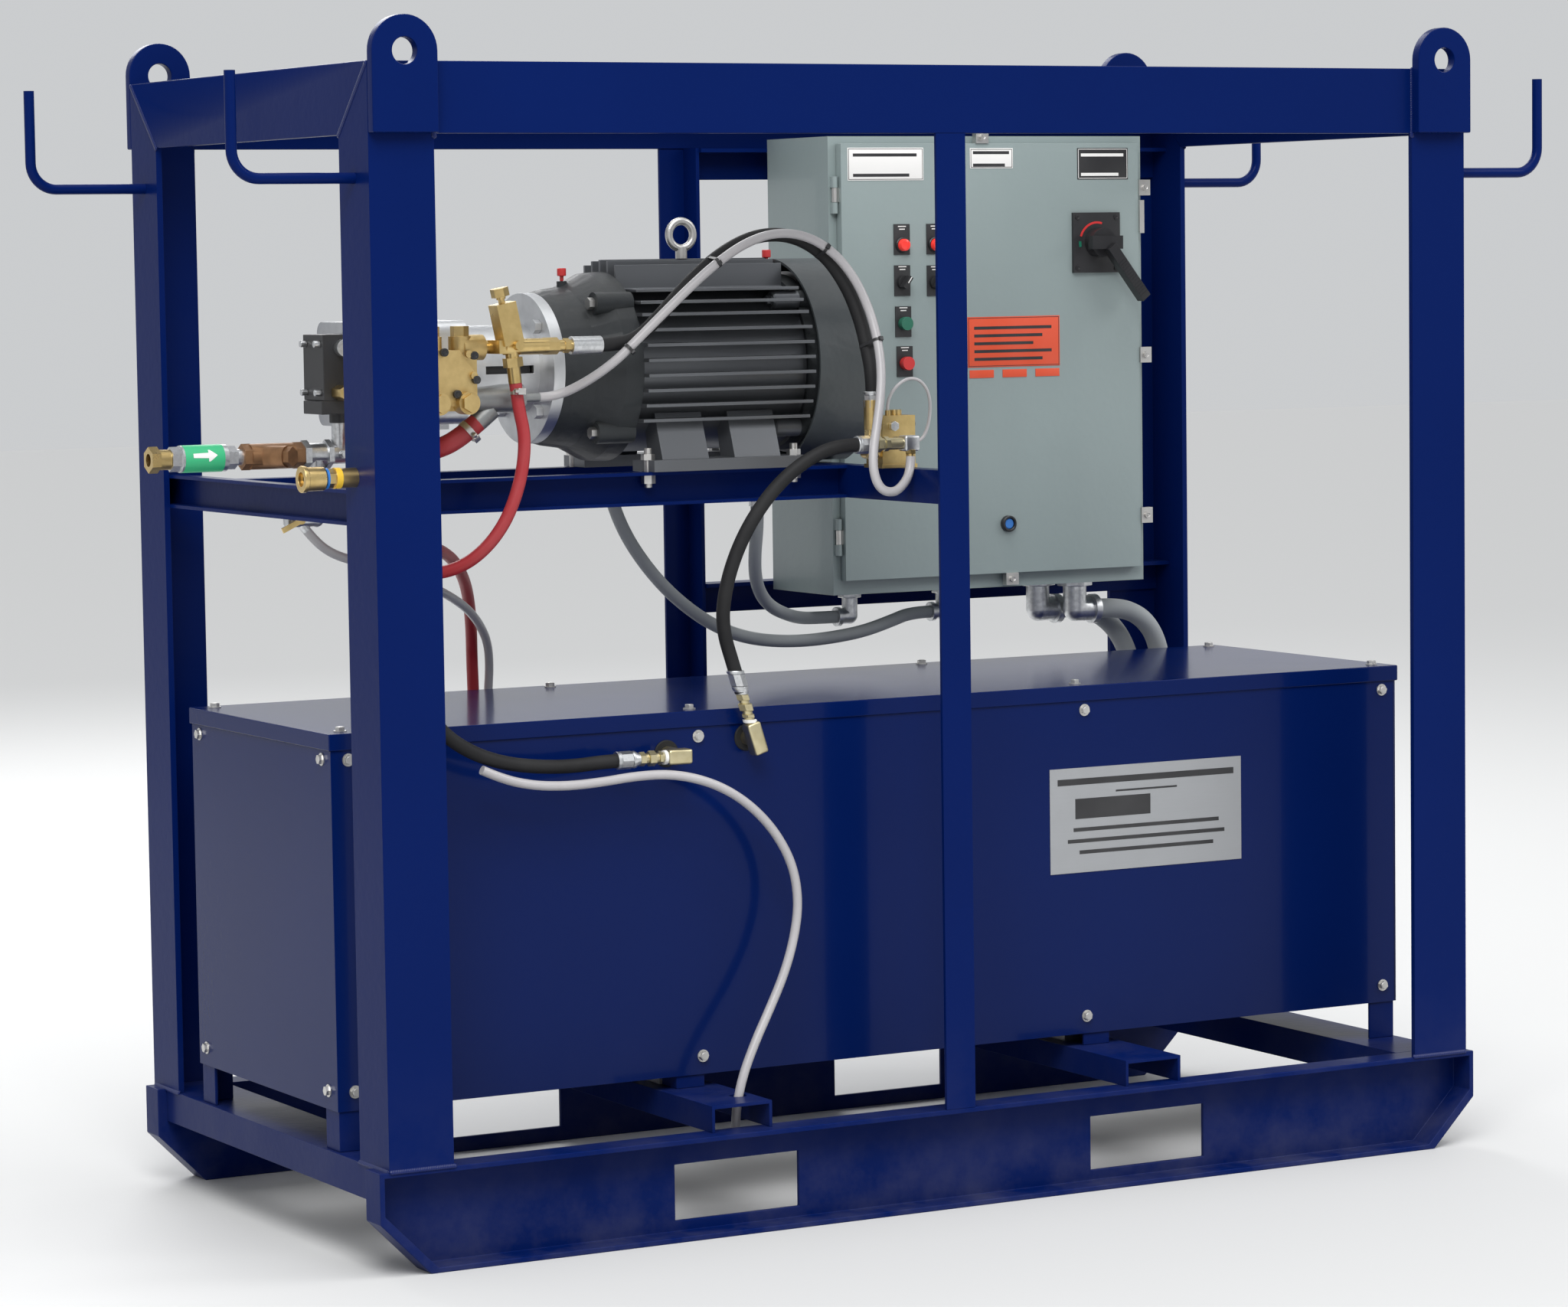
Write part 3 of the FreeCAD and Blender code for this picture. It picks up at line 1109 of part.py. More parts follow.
def build():
    os.makedirs("parts", exist_ok=True)
    runner = skid_runner()
    posts = quadrants(corner_post())
    save("skid_runners", [runner, mirror_y(runner)])
    save("base_channels", base_channels())
    middle = middle_post()
    outlet_bore = cyl((-HALF_L - 1, OUTLET_Y, OUTLET_Z), X, 9.0, ANGLE_T + 2)
    drilled = [p.cut(outlet_bore) for p in posts]
    save("posts", drilled + [middle, mirror_y(middle)])
    save("top_rails", top_rails(posts))
    save("lifting_lugs", quadrants(lifting_lug()))
    save("hose_hooks", quadrants(hose_hook()))
    save("deck_beams", deck_beams())
    save("cover_lid", [cover_lid()])
    save("cover_panels", cover_panels())
    save("cover_legs", cover_legs())
    save("cover_bolts", cover_bolts())
    save("heater_vessels", heater_vessel())
    y = -COVER_Y + SHEET + 0.5
    save("nameplate", [box(PLATE_X - PLATE_W / 2, PLATE_X + PLATE_W / 2, y - 1, y,
                           PLATE_Z - PLATE_H / 2, PLATE_Z + PLATE_H / 2)])
    save("motor_frame", motor_frame())
    save("motor_end_bells", end_bells())
    save("motor_fan_cowl", [fan_cowl()])
    save("motor_rotor", motor_rotor())
    save("motor_hardware", motor_hardware())
    save("bell_housing", bell_housing())
    save("pump_crankcase", pump_crankcase())
    save("pump_crankshaft", pump_crankshaft())
    save("pump_plungers", plungers())
    save("pump_manifold", pump_manifold() + suction_fitting())
    save("unloader_valve", unloader())
    save("unloader_knob", [unloader_knob()])
    save("inlet_swivel", [inlet_swivel()])
    save("inlet_fittings", inlet_fittings())
    save("inlet_strainer", strainer())
    save("inlet_valve_lever", [valve_lever()])
    save("drain_valve_lever", [drain_lever()])
    save("flow_switch", flow_switch())
    save("outlet_coupler", outlet_coupler())
    save("coupler_sleeve", [coupler_sleeve()])
    save("relief_block", relief_block())
    save("hose_fittings", hose_fittings())
    save("enclosure_box", enclosure_box())
    save("enclosure_internals", enclosure_internals())
    save("enclosure_door", enclosure_door())
    save("door_fittings", door_fittings())
    save("disconnect_handle", [disconnect_handle()])
    save("selector_left", [selector("selector_left")])
    save("selector_right", [selector("selector_right")])
    save("start_button", [push_button("start_button")])
    save("stop_button", [push_button("stop_button")])
    save("reset_button", [push_button("reset_button")])
    save("conduit_elbows", conduit_elbows())
    for name, (r, points) in ROUTES.items():
        cord(name, points, r)


build()
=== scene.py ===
"""Looks of a cage-framed electric pressure washer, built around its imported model."""
import logging
import math
from dataclasses import dataclass, field
from enum import Enum
from typing import Callable, Sequence

import bmesh
import bpy
from mathutils import Matrix, Vector


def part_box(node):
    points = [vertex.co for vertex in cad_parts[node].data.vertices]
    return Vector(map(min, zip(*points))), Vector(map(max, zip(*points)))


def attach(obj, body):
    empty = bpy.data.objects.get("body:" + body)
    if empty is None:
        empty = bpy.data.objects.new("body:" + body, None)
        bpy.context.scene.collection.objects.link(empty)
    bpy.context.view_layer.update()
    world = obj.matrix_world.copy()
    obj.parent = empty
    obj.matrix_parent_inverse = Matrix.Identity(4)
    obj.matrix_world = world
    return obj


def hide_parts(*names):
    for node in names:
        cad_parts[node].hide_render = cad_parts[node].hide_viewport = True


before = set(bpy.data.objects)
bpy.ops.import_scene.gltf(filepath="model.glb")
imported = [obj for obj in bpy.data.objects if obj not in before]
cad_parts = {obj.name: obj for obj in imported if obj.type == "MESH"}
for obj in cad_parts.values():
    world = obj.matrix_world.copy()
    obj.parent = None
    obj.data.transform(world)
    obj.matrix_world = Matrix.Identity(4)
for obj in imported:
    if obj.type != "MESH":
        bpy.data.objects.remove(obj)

log = logging.getLogger("pressure_washer")
Point = tuple[float, float, float]
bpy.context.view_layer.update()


# ---------------------------------------------------------------- node wiring

class Net:
    """Short hand for adding and wiring the nodes of one tree."""

    def __init__(self, tree: bpy.types.NodeTree) -> None:
        """Keeps the tree that the nodes go in."""
        self.tree = tree

    def add(self, kind: str, inputs: dict | None = None, **settings) -> bpy.types.Node:
        """Adds a node.

        Args:
            kind: The node's type name.
            inputs: Values or sockets for its inputs, by name or number.
            settings: Attributes of the node.

        Returns:
            The new node.
        """
        node = self.tree.nodes.new(kind)
        for key, value in settings.items():
            setattr(node, key, value)
        for key, value in (inputs or {}).items():
            if isinstance(value, bpy.types.NodeSocket):
                self.tree.links.new(value, node.inputs[key])
            else:
                node.inputs[key].default_value = value
        return node

    def math(self, op: str, a, b=0.0, clamp: bool = False) -> bpy.types.NodeSocket:
        """A Math node's result for two values or sockets."""
        return self.add("ShaderNodeMath", {0: a, 1: b}, operation=op, use_clamp=clamp).outputs[0]

    def noise(self, vector, scale: float, detail: float = 2.0, rough: float = 0.5) -> bpy.types.NodeSocket:
        """A noise value between 0 and 1."""
        return self.add("ShaderNodeTexNoise", {"Vector": vector, "Scale": scale, "Detail": detail,
                                               "Roughness": rough}).outputs["Fac"]

    def band(self, value, low: float, high: float) -> bpy.types.NodeSocket:
        """A value mapped so that low gives 0 and high gives 1, held within them."""
        return self.add("ShaderNodeMapRange",
                        {"Value": value, "From Min": low, "From Max": high}).outputs[0]

    def mix(self, share, a, b) -> bpy.types.NodeSocket:
        """Colour a turning into colour b as share goes from 0 to 1."""
        node = self.add("ShaderNodeMix", data_type="RGBA")
        for key, value in ((0, share), (6, a), (7, b)):
            if isinstance(value, bpy.types.NodeSocket):
                self.tree.links.new(value, node.inputs[key])
            else:
                node.inputs[key].default_value = value
        return node.outputs[2]

    def place(self, group: bpy.types.NodeTree, inputs: dict) -> bpy.types.Node:
        """Puts a shared group in this tree with its own values."""
        node = self.add("ShaderNodeGroup", node_tree=group)
        for key, value in inputs.items():
            if isinstance(value, bpy.types.NodeSocket):
                self.tree.links.new(value, node.inputs[key])
            else:
                node.inputs[key].default_value = value
        return node


def new_group(name: str, inputs: Sequence[tuple[str, str, float]],
              outputs: Sequence[tuple[str, str]]) -> Net:
    """Starts a shader group with named sockets.

    Args:
        name: The group's name.
        inputs: Name, socket kind and default of each input.
        outputs: Name and socket kind of each output.

    Returns:
        A net on the group, which holds its Group Input and Group Output nodes.
    """
    tree = bpy.data.node_groups.new(name, "ShaderNodeTree")
    for label, kind, default in inputs:
        socket = tree.interface.new_socket(name=label, in_out="INPUT", socket_type=kind)
        socket.default_value = default
    for label, kind in outputs:
        tree.interface.new_socket(name=label, in_out="OUTPUT", socket_type=kind)
    net = Net(tree)
    net.source = net.add("NodeGroupInput")
    net.sink = net.add("NodeGroupOutput")
    return net


class Effects:
    """The surface effects that several finishes share, each one node group."""

    def __init__(self) -> None:
        """Builds every group once."""
        self.dust = self._dust()
        self.scuffs = self._scuffs()
        self.mottle = self._mottle()
        self.peel = self._peel()
        self.brushed = self._brushed()

    def _dust(self) -> bpy.types.NodeTree:
        """Dust that gathers low on the machine and on faces that look up."""
        net = new_group("settled_dust",
                        [("Amount", "NodeSocketFloat", 0.3), ("Height", "NodeSocketFloat", 0.4)],
                        [("Mask", "NodeSocketFloat")])
        src = net.source.outputs
        place = net.add("ShaderNodeTexCoord").outputs["Object"]
        z = net.add("ShaderNodeSeparateXYZ", {0: place}).outputs[2]
        low = net.math("SUBTRACT", 1.0, net.math("DIVIDE", z, src["Height"], True), True)
        up = net.add("ShaderNodeSeparateXYZ",
                     {0: net.add("ShaderNodeNewGeometry").outputs["Normal"]}).outputs[2]
        flat = net.math("MULTIPLY", net.band(up, 0.4, 1.0), 0.35)
        cloud = net.band(net.noise(place, 9.0, 6.0, 0.65), 0.38, 0.72)
        both = net.math("ADD", net.math("MULTIPLY", low, low), flat)
        mask = net.math("MULTIPLY", net.math("MULTIPLY", both, cloud), src["Amount"], True)
        net.tree.links.new(mask, net.sink.inputs["Mask"])
        return net.tree

    def _scuffs(self) -> bpy.types.NodeTree:
        """Fine scratches and rubbed patches."""
        net = new_group("handling_scuffs",
                        [("Amount", "NodeSocketFloat", 0.2), ("Scale", "NodeSocketFloat", 20.0)],
                        [("Mask", "NodeSocketFloat")])
        src = net.source.outputs
        place = net.add("ShaderNodeTexCoord").outputs["Object"]
        turned = net.add("ShaderNodeMapping",
                         {"Vector": place, "Rotation": (0.5, 0.9, 0.3), "Scale": (1, 14, 14)})
        lines = net.add("ShaderNodeTexNoise",
                        {"Vector": turned.outputs[0], "Scale": src["Scale"], "Detail": 5.0})
        patch = net.band(net.noise(place, 3.0, 3.0), 0.5, 0.75)
        mask = net.math("MULTIPLY", net.band(lines.outputs["Fac"], 0.66, 0.72), patch)
        net.tree.links.new(net.math("MULTIPLY", mask, src["Amount"], True), net.sink.inputs["Mask"])
        return net.tree

    def _mottle(self) -> bpy.types.NodeTree:
        """Cloudy patches, such as tarnish on brass or spangle on zinc."""
        net = new_group("metal_mottle",
                        [("Scale", "NodeSocketFloat", 40.0), ("Spangle", "NodeSocketFloat", 0.0)],
                        [("Patch", "NodeSocketFloat"), ("Grain", "NodeSocketFloat")])
        src = net.source.outputs
        place = net.add("ShaderNodeTexCoord").outputs["Object"]
        cloud = net.add("ShaderNodeTexNoise",
                        {"Vector": place, "Scale": src["Scale"], "Detail": 4.0}).outputs["Fac"]
        cells = net.add("ShaderNodeTexVoronoi", {"Vector": place, "Scale": 260.0}).outputs["Color"]
        cell = net.add("ShaderNodeSeparateColor", {0: cells}).outputs[0]
        mixed = net.math("ADD", net.math("MULTIPLY", cell, src["Spangle"]),
                         net.math("MULTIPLY", cloud, net.math("SUBTRACT", 1.0, src["Spangle"])))
        net.tree.links.new(mixed, net.sink.inputs["Patch"])
        net.tree.links.new(net.noise(place, 900.0, 3.0, 0.6), net.sink.inputs["Grain"])
        return net.tree

    def _peel(self) -> bpy.types.NodeTree:
        """The slow ripple of sprayed gloss paint with a little grit in it."""
        net = new_group("spray_ripple",
                        [("Scale", "NodeSocketFloat", 90.0), ("Grit", "NodeSocketFloat", 0.1)],
                        [("Height", "NodeSocketFloat"), ("Shade", "NodeSocketFloat")])
        src = net.source.outputs
        place = net.add("ShaderNodeTexCoord").outputs["Object"]
        wave = net.add("ShaderNodeTexNoise",
                       {"Vector": place, "Scale": src["Scale"], "Detail": 1.0}).outputs["Fac"]
        grit = net.math("MULTIPLY", net.noise(place, 1400.0, 2.0), src["Grit"])
        net.tree.links.new(net.math("ADD", wave, grit), net.sink.inputs["Height"])
        net.tree.links.new(net.noise(place, 2.2, 3.0), net.sink.inputs["Shade"])
        return net.tree

    def _brushed(self) -> bpy.types.NodeTree:
        """Tool marks drawn out along one direction."""
        net = new_group("tool_marks",
                        [("Along X", "NodeSocketFloat", 20.0), ("Along Y", "NodeSocketFloat", 900.0),
                         ("Along Z", "NodeSocketFloat", 900.0)], [("Lines", "NodeSocketFloat")])
        src = net.source.outputs
        place = net.add("ShaderNodeTexCoord").outputs["Object"]
        stretch = net.add("ShaderNodeCombineXYZ", {0: src[0], 1: src[1], 2: src[2]}).outputs[0]
        drawn = net.add("ShaderNodeVectorMath", {0: place, 1: stretch}, operation="MULTIPLY").outputs[0]
        net.tree.links.new(net.noise(drawn, 1.0, 3.0), net.sink.inputs["Lines"])
        return net.tree


EFFECTS = Effects()


# ---------------------------------------------------------------- finishes

def rgba(colour: Sequence[float], gain: float = 1.0) -> tuple[float, float, float, float]:
    """A colour with its alpha, made lighter or darker by a gain."""
    return tuple(min(1.0, c * gain) for c in colour) + (1.0,)


@dataclass(frozen=True)
class Finish:
    """A material of one kind; the kinds below say how it is wired."""

    name: str
    colour: tuple[float, float, float]
    roughness: float = 0.4

    def material(self) -> bpy.types.Material:
        """The finish's material, made the first time it is asked for."""
        made = bpy.data.materials.get(self.name)
        if made is None:
            made = bpy.data.materials.new(self.name)
            made.use_nodes = True
            net = Net(made.node_tree)
            shader = made.node_tree.nodes["Principled BSDF"]
            shader.inputs["Roughness"].default_value = self.roughness
            self.wire(net, shader)
        return made

    def wire(self, net: Net, shader: bpy.types.Node) -> None:
        """Wires the shader's inputs; each kind of finish has its own way."""
        raise NotImplementedError

    def bump(self, net: Net, shader: bpy.types.Node, height: bpy.types.NodeSocket, strength: float,
             distance: float) -> None:
        """Feeds the shader's normal from a height."""
        node = net.add("ShaderNodeBump", {"Height": height, "Strength": strength, "Distance": distance})
        net.tree.links.new(node.outputs[0], shader.inputs["Normal"])


@dataclass(frozen=True)
class Paint(Finish):
    """Sprayed paint on steel or cast iron."""

    coat: float = 0.6
    specular: float = 0.5
    ripple: float = 0.25
    grit: float = 0.05
    dust: float = 0.5
    dust_colour: tuple[float, float, float] = (0.30, 0.28, 0.25)
    scuffs: float = 0.25

    def wire(self, net: Net, shader: bpy.types.Node) -> None:
        """Paint with a slow ripple, faint shade changes, scuffs and settled dust."""
        shader.inputs["Coat Weight"].default_value = self.coat
        shader.inputs["Coat Roughness"].default_value = 0.06
        shader.inputs["Specular IOR Level"].default_value = self.specular
        peel = net.place(EFFECTS.peel, {"Scale": 70.0, "Grit": self.grit})
        dust = net.place(EFFECTS.dust, {"Amount": self.dust, "Height": 0.35}).outputs[0]
        scuff = net.place(EFFECTS.scuffs, {"Amount": self.scuffs, "Scale": 9.0}).outputs[0]
        tone = net.mix(peel.outputs["Shade"], rgba(self.colour, 0.86), rgba(self.colour, 1.12))
        worn = net.mix(scuff, tone, rgba(self.colour, 1.9))
        dusty = net.mix(dust, worn, rgba(self.dust_colour))
        net.tree.links.new(dusty, shader.inputs["Base Color"])
        rough = net.math("ADD", self.roughness, net.math("MULTIPLY", dust, 0.5))
        rough = net.math("ADD", rough, net.math("MULTIPLY", scuff, 0.2), True)
        net.tree.links.new(rough, shader.inputs["Roughness"])
        self.bump(net, shader, peel.outputs["Height"], self.ripple, 0.002)


@dataclass(frozen=True)
class Metal(Finish):
    """Bare or plated metal, cast or turned."""

    patch: tuple[float, float, float] = (0.3, 0.25, 0.15)
    patch_share: float = 0.3
    scale: float = 40.0
    spangle: float = 0.0
    grain: float = 0.15
    lines: float = 0.0

    def wire(self, net: Net, shader: bpy.types.Node) -> None:
        """Metal with cloudy patches, grain and, where it is turned, fine tool marks."""
        shader.inputs["Metallic"].default_value = 1.0
        mottle = net.place(EFFECTS.mottle, {"Scale": self.scale, "Spangle": self.spangle})
        cloud = net.band(mottle.outputs["Patch"], 0.35, 0.75)
        share = net.math("MULTIPLY", cloud, self.patch_share)
        net.tree.links.new(net.mix(share, rgba(self.colour), rgba(self.patch)), shader.inputs["Base Color"])
        rough = net.math("ADD", self.roughness - 0.08, net.math("MULTIPLY", mottle.outputs["Patch"], 0.22))
        height = mottle.outputs["Grain"]
        if self.lines:
            marks = net.place(EFFECTS.brushed, {}).outputs[0]
            rough = net.math("ADD", rough, net.math("MULTIPLY", marks, self.lines))
            height = marks
        net.tree.links.new(net.math("ADD", rough, 0.0, True), shader.inputs["Roughness"])
        self.bump(net, shader, height, self.grain, 0.0006)


@dataclass(frozen=True)
class Moulded(Finish):
    """Plastic or rubber from a mould or a die."""

    grain: float = 0.1
    grain_scale: float = 500.0
    bloom: float = 0.15
    through: float = 0.0
    glow: float = 0.0
    specular: float = 0.5

    def wire(self, net: Net, shader: bpy.types.Node) -> None:
        """Plastic or rubber with fine grain and a pale bloom in patches."""
        shader.inputs["Transmission Weight"].default_value = self.through
        shader.inputs["Specular IOR Level"].default_value = self.specular
        place = net.add("ShaderNodeTexCoord").outputs["Object"]
        cloud = net.band(net.noise(place, 14.0, 4.0), 0.4, 0.8)
        share = net.math("MULTIPLY", cloud, self.bloom)
        pale = tuple(c * 0.7 + 0.3 for c in self.colour)
        colour = net.mix(share, rgba(self.colour), rgba(pale))
        net.tree.links.new(colour, shader.inputs["Base Color"])
        rough = net.math("ADD", self.roughness, net.math("MULTIPLY", cloud, 0.12), True)
        net.tree.links.new(rough, shader.inputs["Roughness"])
        if self.glow:
            shader.inputs["Emission Color"].default_value = rgba(self.colour)
            shader.inputs["Emission Strength"].default_value = self.glow
        self.bump(net, shader, net.noise(place, self.grain_scale, 3.0), self.grain, 0.0008)


BLUE = Paint("royal_blue_gloss", (0.0012, 0.0098, 0.084), 0.28, coat=0.02, specular=0.045, ripple=0.12,
             dust=0.10,
             scuffs=0.12)
BLUE_SHEET = Paint("royal_blue_sheet", (0.0010, 0.0092, 0.076), 0.18, coat=0.08, specular=0.08, ripple=0.05,
                   dust=0.06, scuffs=0.08)
WELD = Paint("weld_blue", (0.002, 0.010, 0.086), 0.3, coat=0.15, specular=0.2, ripple=0.3, grit=0.3,
             dust=0.1)
IRON = Paint("motor_grey", (0.034, 0.038, 0.041), 0.42, coat=0.08, specular=0.32, ripple=0.7, grit=0.5,
             dust=0.35,
             scuffs=0.2)
BELL = Paint("end_bell_grey", (0.029, 0.033, 0.036), 0.40, coat=0.08, specular=0.32, ripple=0.7, grit=0.5,
             dust=0.3,
             scuffs=0.2)
COWL = Paint("cowl_grey", (0.058, 0.066, 0.070), 0.36, coat=0.12, specular=0.35, ripple=0.35, grit=0.3,
             dust=0.3,
             scuffs=0.2)
ENAMEL = Paint("enclosure_grey_green", (0.262, 0.318, 0.316), 0.40, coat=0.25, ripple=0.18, grit=0.3,
               dust=0.08,
               scuffs=0.10)
BRASS = Metal("brass_yellow", (0.70, 0.52, 0.23), 0.28, patch=(0.40, 0.27, 0.09), patch_share=0.45,
              scale=60.0)
CAST_BRASS = Metal("brass_cast", (0.66, 0.49, 0.22), 0.40, patch=(0.36, 0.24, 0.09), patch_share=0.5,
                   scale=45.0,
                   grain=0.45)
BRONZE = Metal("bronze_cast", (0.34, 0.19, 0.10), 0.52, patch=(0.16, 0.09, 0.05), patch_share=0.6,
               scale=50.0,
               grain=0.6)
ZINC = Metal("zinc_plate", (0.66, 0.67, 0.68), 0.34, patch=(0.42, 0.43, 0.44), patch_share=0.5, scale=70.0,
             spangle=0.4)
GOLD = Metal("zinc_yellow", (0.66, 0.59, 0.38), 0.34, patch=(0.46, 0.38, 0.19), patch_share=0.5, scale=70.0)
PIPE = Metal("cast_steel", (0.30, 0.31, 0.31), 0.44, patch=(0.20, 0.20, 0.20), patch_share=0.4, grain=0.4)
STAINLESS = Metal("stainless", (0.62, 0.61, 0.59), 0.28, patch=(0.4, 0.39, 0.37), patch_share=0.3,
                  lines=0.15)
ALUMINIUM = Metal("aluminium_cast", (0.70, 0.71, 0.72), 0.40, patch=(0.50, 0.51, 0.52), patch_share=0.4,
                  grain=0.3)
SHAFT = Metal("ground_steel", (0.55, 0.55, 0.56), 0.25, patch=(0.35, 0.34, 0.33), patch_share=0.3,
              lines=0.2)
BLACK = Moulded("black_moulding", (0.018, 0.018, 0.020), 0.42, bloom=0.06)
GLOSS_BLACK = Moulded("black_switch", (0.015, 0.015, 0.017), 0.28, bloom=0.04)
RED_LENS = Moulded("red_lens", (0.80, 0.035, 0.025), 0.18, bloom=0.05, glow=0.25)
RED = Moulded("red_cap", (0.62, 0.030, 0.030), 0.30, bloom=0.08)
GREEN = Moulded("green_button", (0.010, 0.145, 0.085), 0.30, bloom=0.08)
BLUE_CAP = Moulded("blue_button", (0.015, 0.16, 0.52), 0.28, bloom=0.1)
RUBBER = Moulded("hose_black", (0.009, 0.009, 0.010), 0.60, grain=0.35, grain_scale=700.0, bloom=0.04,
                 specular=0.28)
RED_HOSE = Moulded("hose_red", (0.36, 0.018, 0.024), 0.46, grain=0.25, grain_scale=600.0, bloom=0.10)
CLEAR = Moulded("hose_milky", (0.45, 0.435, 0.445), 0.30, grain=0.2, grain_scale=500.0, bloom=0.25,
                through=0.10)
CONDUIT = Moulded("conduit_grey", (0.085, 0.095, 0.100), 0.50, grain=0.15, bloom=0.12)
YELLOW = Moulded("yellow_cap", (0.80, 0.50, 0.03), 0.35, bloom=0.08)
LABEL_WHITE = Moulded("label_white", (0.80, 0.79, 0.77), 0.45, bloom=0.1)
LABEL_BLACK = Moulded("label_black", (0.02, 0.02, 0.022), 0.4, bloom=0.05)
LABEL_ORANGE = Moulded("label_orange", (0.72, 0.075, 0.022), 0.42, bloom=0.08)
LABEL_GREEN = Moulded("label_green", (0.03, 0.42, 0.18), 0.4, bloom=0.08)
PLATE_GREY = Metal("name_plate", (0.44, 0.45, 0.465), 0.45, patch=(0.5, 0.51, 0.53), patch_share=0.3,
                   lines=0.1)
CERAMIC = Moulded("ceramic_white", (0.82, 0.80, 0.74), 0.15, grain=0.02, bloom=0.1)


# ---------------------------------------------------------------- shapes

class Shape:
    """A mesh under construction, in metres in the frame of the machine."""

    def __init__(self) -> None:
        """Starts with nothing in it."""
        self.bm = bmesh.new()

    def block(self, lo: Point, hi: Point, round_off: float = 0.0, turn: Matrix | None = None) -> "Shape":
        """Adds a box with rounded edges.

        Args:
            lo: Lowest corner.
            hi: Highest corner.
            round_off: Edge radius.
            turn: A transform applied to the box afterwards.

        Returns:
            This shape.
        """
        centre = (Vector(lo) + Vector(hi)) / 2
        size = Vector(hi) - Vector(lo)
        made = bmesh.ops.create_cube(self.bm, size=1.0)["verts"]
        bmesh.ops.scale(self.bm, vec=size, verts=made)
        bmesh.ops.translate(self.bm, vec=centre, verts=made)
        if round_off:
            edges = list({e for v in made for e in v.link_edges})
            out = bmesh.ops.bevel(self.bm, geom=edges, offset=round_off, segments=3, profile=0.5,
                                  affect="EDGES")
            made = list({v for f in out["faces"] for v in f.verts} | {v for v in made if v.is_valid})
        if turn is not None:
            bmesh.ops.transform(self.bm, matrix=turn, verts=made)
        return self

    def lathe(self, at: Point, axis: Point, profile: Sequence[tuple[float, float]], steps: int = 32,
              twist: float = 0.0) -> "Shape":
        """Adds a turned solid; with six steps it is a hexagon with the same outline.

        Args:
            at: The point where the axis starts.
            axis: The direction of the axis.
            profile: Pairs of distance along the axis and radius.
            steps: Sides of the solid.
            twist: Turn about the axis in radians.

        Returns:
            This shape.
        """
        w = Vector(axis).normalized()
        u = (Vector((0, 0, 1)) - w * w.z).normalized() if abs(w.z) < 0.9 else Vector((1, 0, 0))
        v = w.cross(u)
        rings = []
        for along, radius in profile:
            centre = Vector(at) + w * along
            if radius < 1e-7:
                rings.append([self.bm.verts.new(centre)])
                continue
            ring = []
            for k in range(steps):
                a = 2 * math.pi * k / steps + twist
                ring.append(self.bm.verts.new(centre + u * (radius * math.cos(a))
                                              + v * (radius * math.sin(a))))
            rings.append(ring)
        for one, two in zip(rings, rings[1:]):
            for k in range(steps):
                n = (k + 1) % steps
                if len(one) == 1 and len(two) > 1:
                    self.bm.faces.new((one[0], two[n], two[k]))
                elif len(two) == 1 and len(one) > 1:
                    self.bm.faces.new((one[k], one[n], two[0]))
                elif len(one) > 1:
                    self.bm.faces.new((one[k], one[n], two[n], two[k]))
        for ring, flip in ((rings[0], True), (rings[-1], False)):
            if len(ring) > 1:
                self.bm.faces.new(ring[::-1] if flip else ring)
        return self

    def hex(self, at: Point, axis: Point, flats: float, height: float, chamfer: float = 0.12,
            twist: float = 0.0) -> "Shape":
        """Adds a hexagon with its outer corners turned down at both ends."""
        r = flats / math.sqrt(3)
        c = r * chamfer
        return self.lathe(at, axis, [(0, r - c), (c * 0.6, r), (height - c * 0.6, r), (height, r - c)], 6,
                          twist)

    def ring_part(self, at: Point, axis: Point, inner: float, outer: float, depth: float, start: float,
                  sweep: float, steps: int = 24) -> "Shape":
        """Adds part of a flat ring.

        Args:
            at: Centre of its back face.
            axis: The way it faces.
            inner: Inner radius.
            outer: Outer radius.
            depth: Thickness along the axis.
            start: First angle in radians, from straight up, turning as seen from its back.
            sweep: Angle that it covers.
            steps: Pieces that the arc is made of.

        Returns:
            This shape.
        """
        w = Vector(axis).normalized()
        u = (Vector((0, 0, 1)) - w * w.z).normalized() if abs(w.z) < 0.9 else Vector((1, 0, 0))
        v = w.cross(u)
        rows = []
        for k in range(steps + 1):
            a = start + sweep * k / steps
            out = u * math.cos(a) + v * math.sin(a)
            base = Vector(at)
            rows.append([self.bm.verts.new(base + out * inner), self.bm.verts.new(base + out * outer),
                         self.bm.verts.new(base + out * outer + w * depth),
                         self.bm.verts.new(base + out * inner + w * depth)])
        for one, two in zip(rows, rows[1:]):
            for k in range(4):
                n = (k + 1) % 4
                self.bm.faces.new((one[k], one[n], two[n], two[k]))
        self.bm.faces.new(rows[0][::-1])
        self.bm.faces.new(rows[-1])
        return self

    def band(self, rim: Sequence[Vector], along: Vector, width: float, thick: float) -> "Shape":
        """Adds a closed strap that follows a loop of points.

        Args:
            rim: Points on the inside of the strap, in order round the loop.
            along: Unit direction of its width.
            width: Width of the strap.
            thick: Thickness of the strap.

        Returns:
            This shape.
        """
        centre = sum(rim, Vector()) / len(rim)
        rows = []
        for point in rim:
            out = (point - centre).normalized() * thick
            half = along * (width / 2)
            rows.append([self.bm.verts.new(p) for p in (point - half, point + out - half,
                                                        point + out + half,
                                                        point + half)])
        for k, one in enumerate(rows):
            two = rows[(k + 1) % len(rows)]
            for j in range(4):
                n = (j + 1) % 4
                self.bm.faces.new((one[j], one[n], two[n], two[j]))
        return self

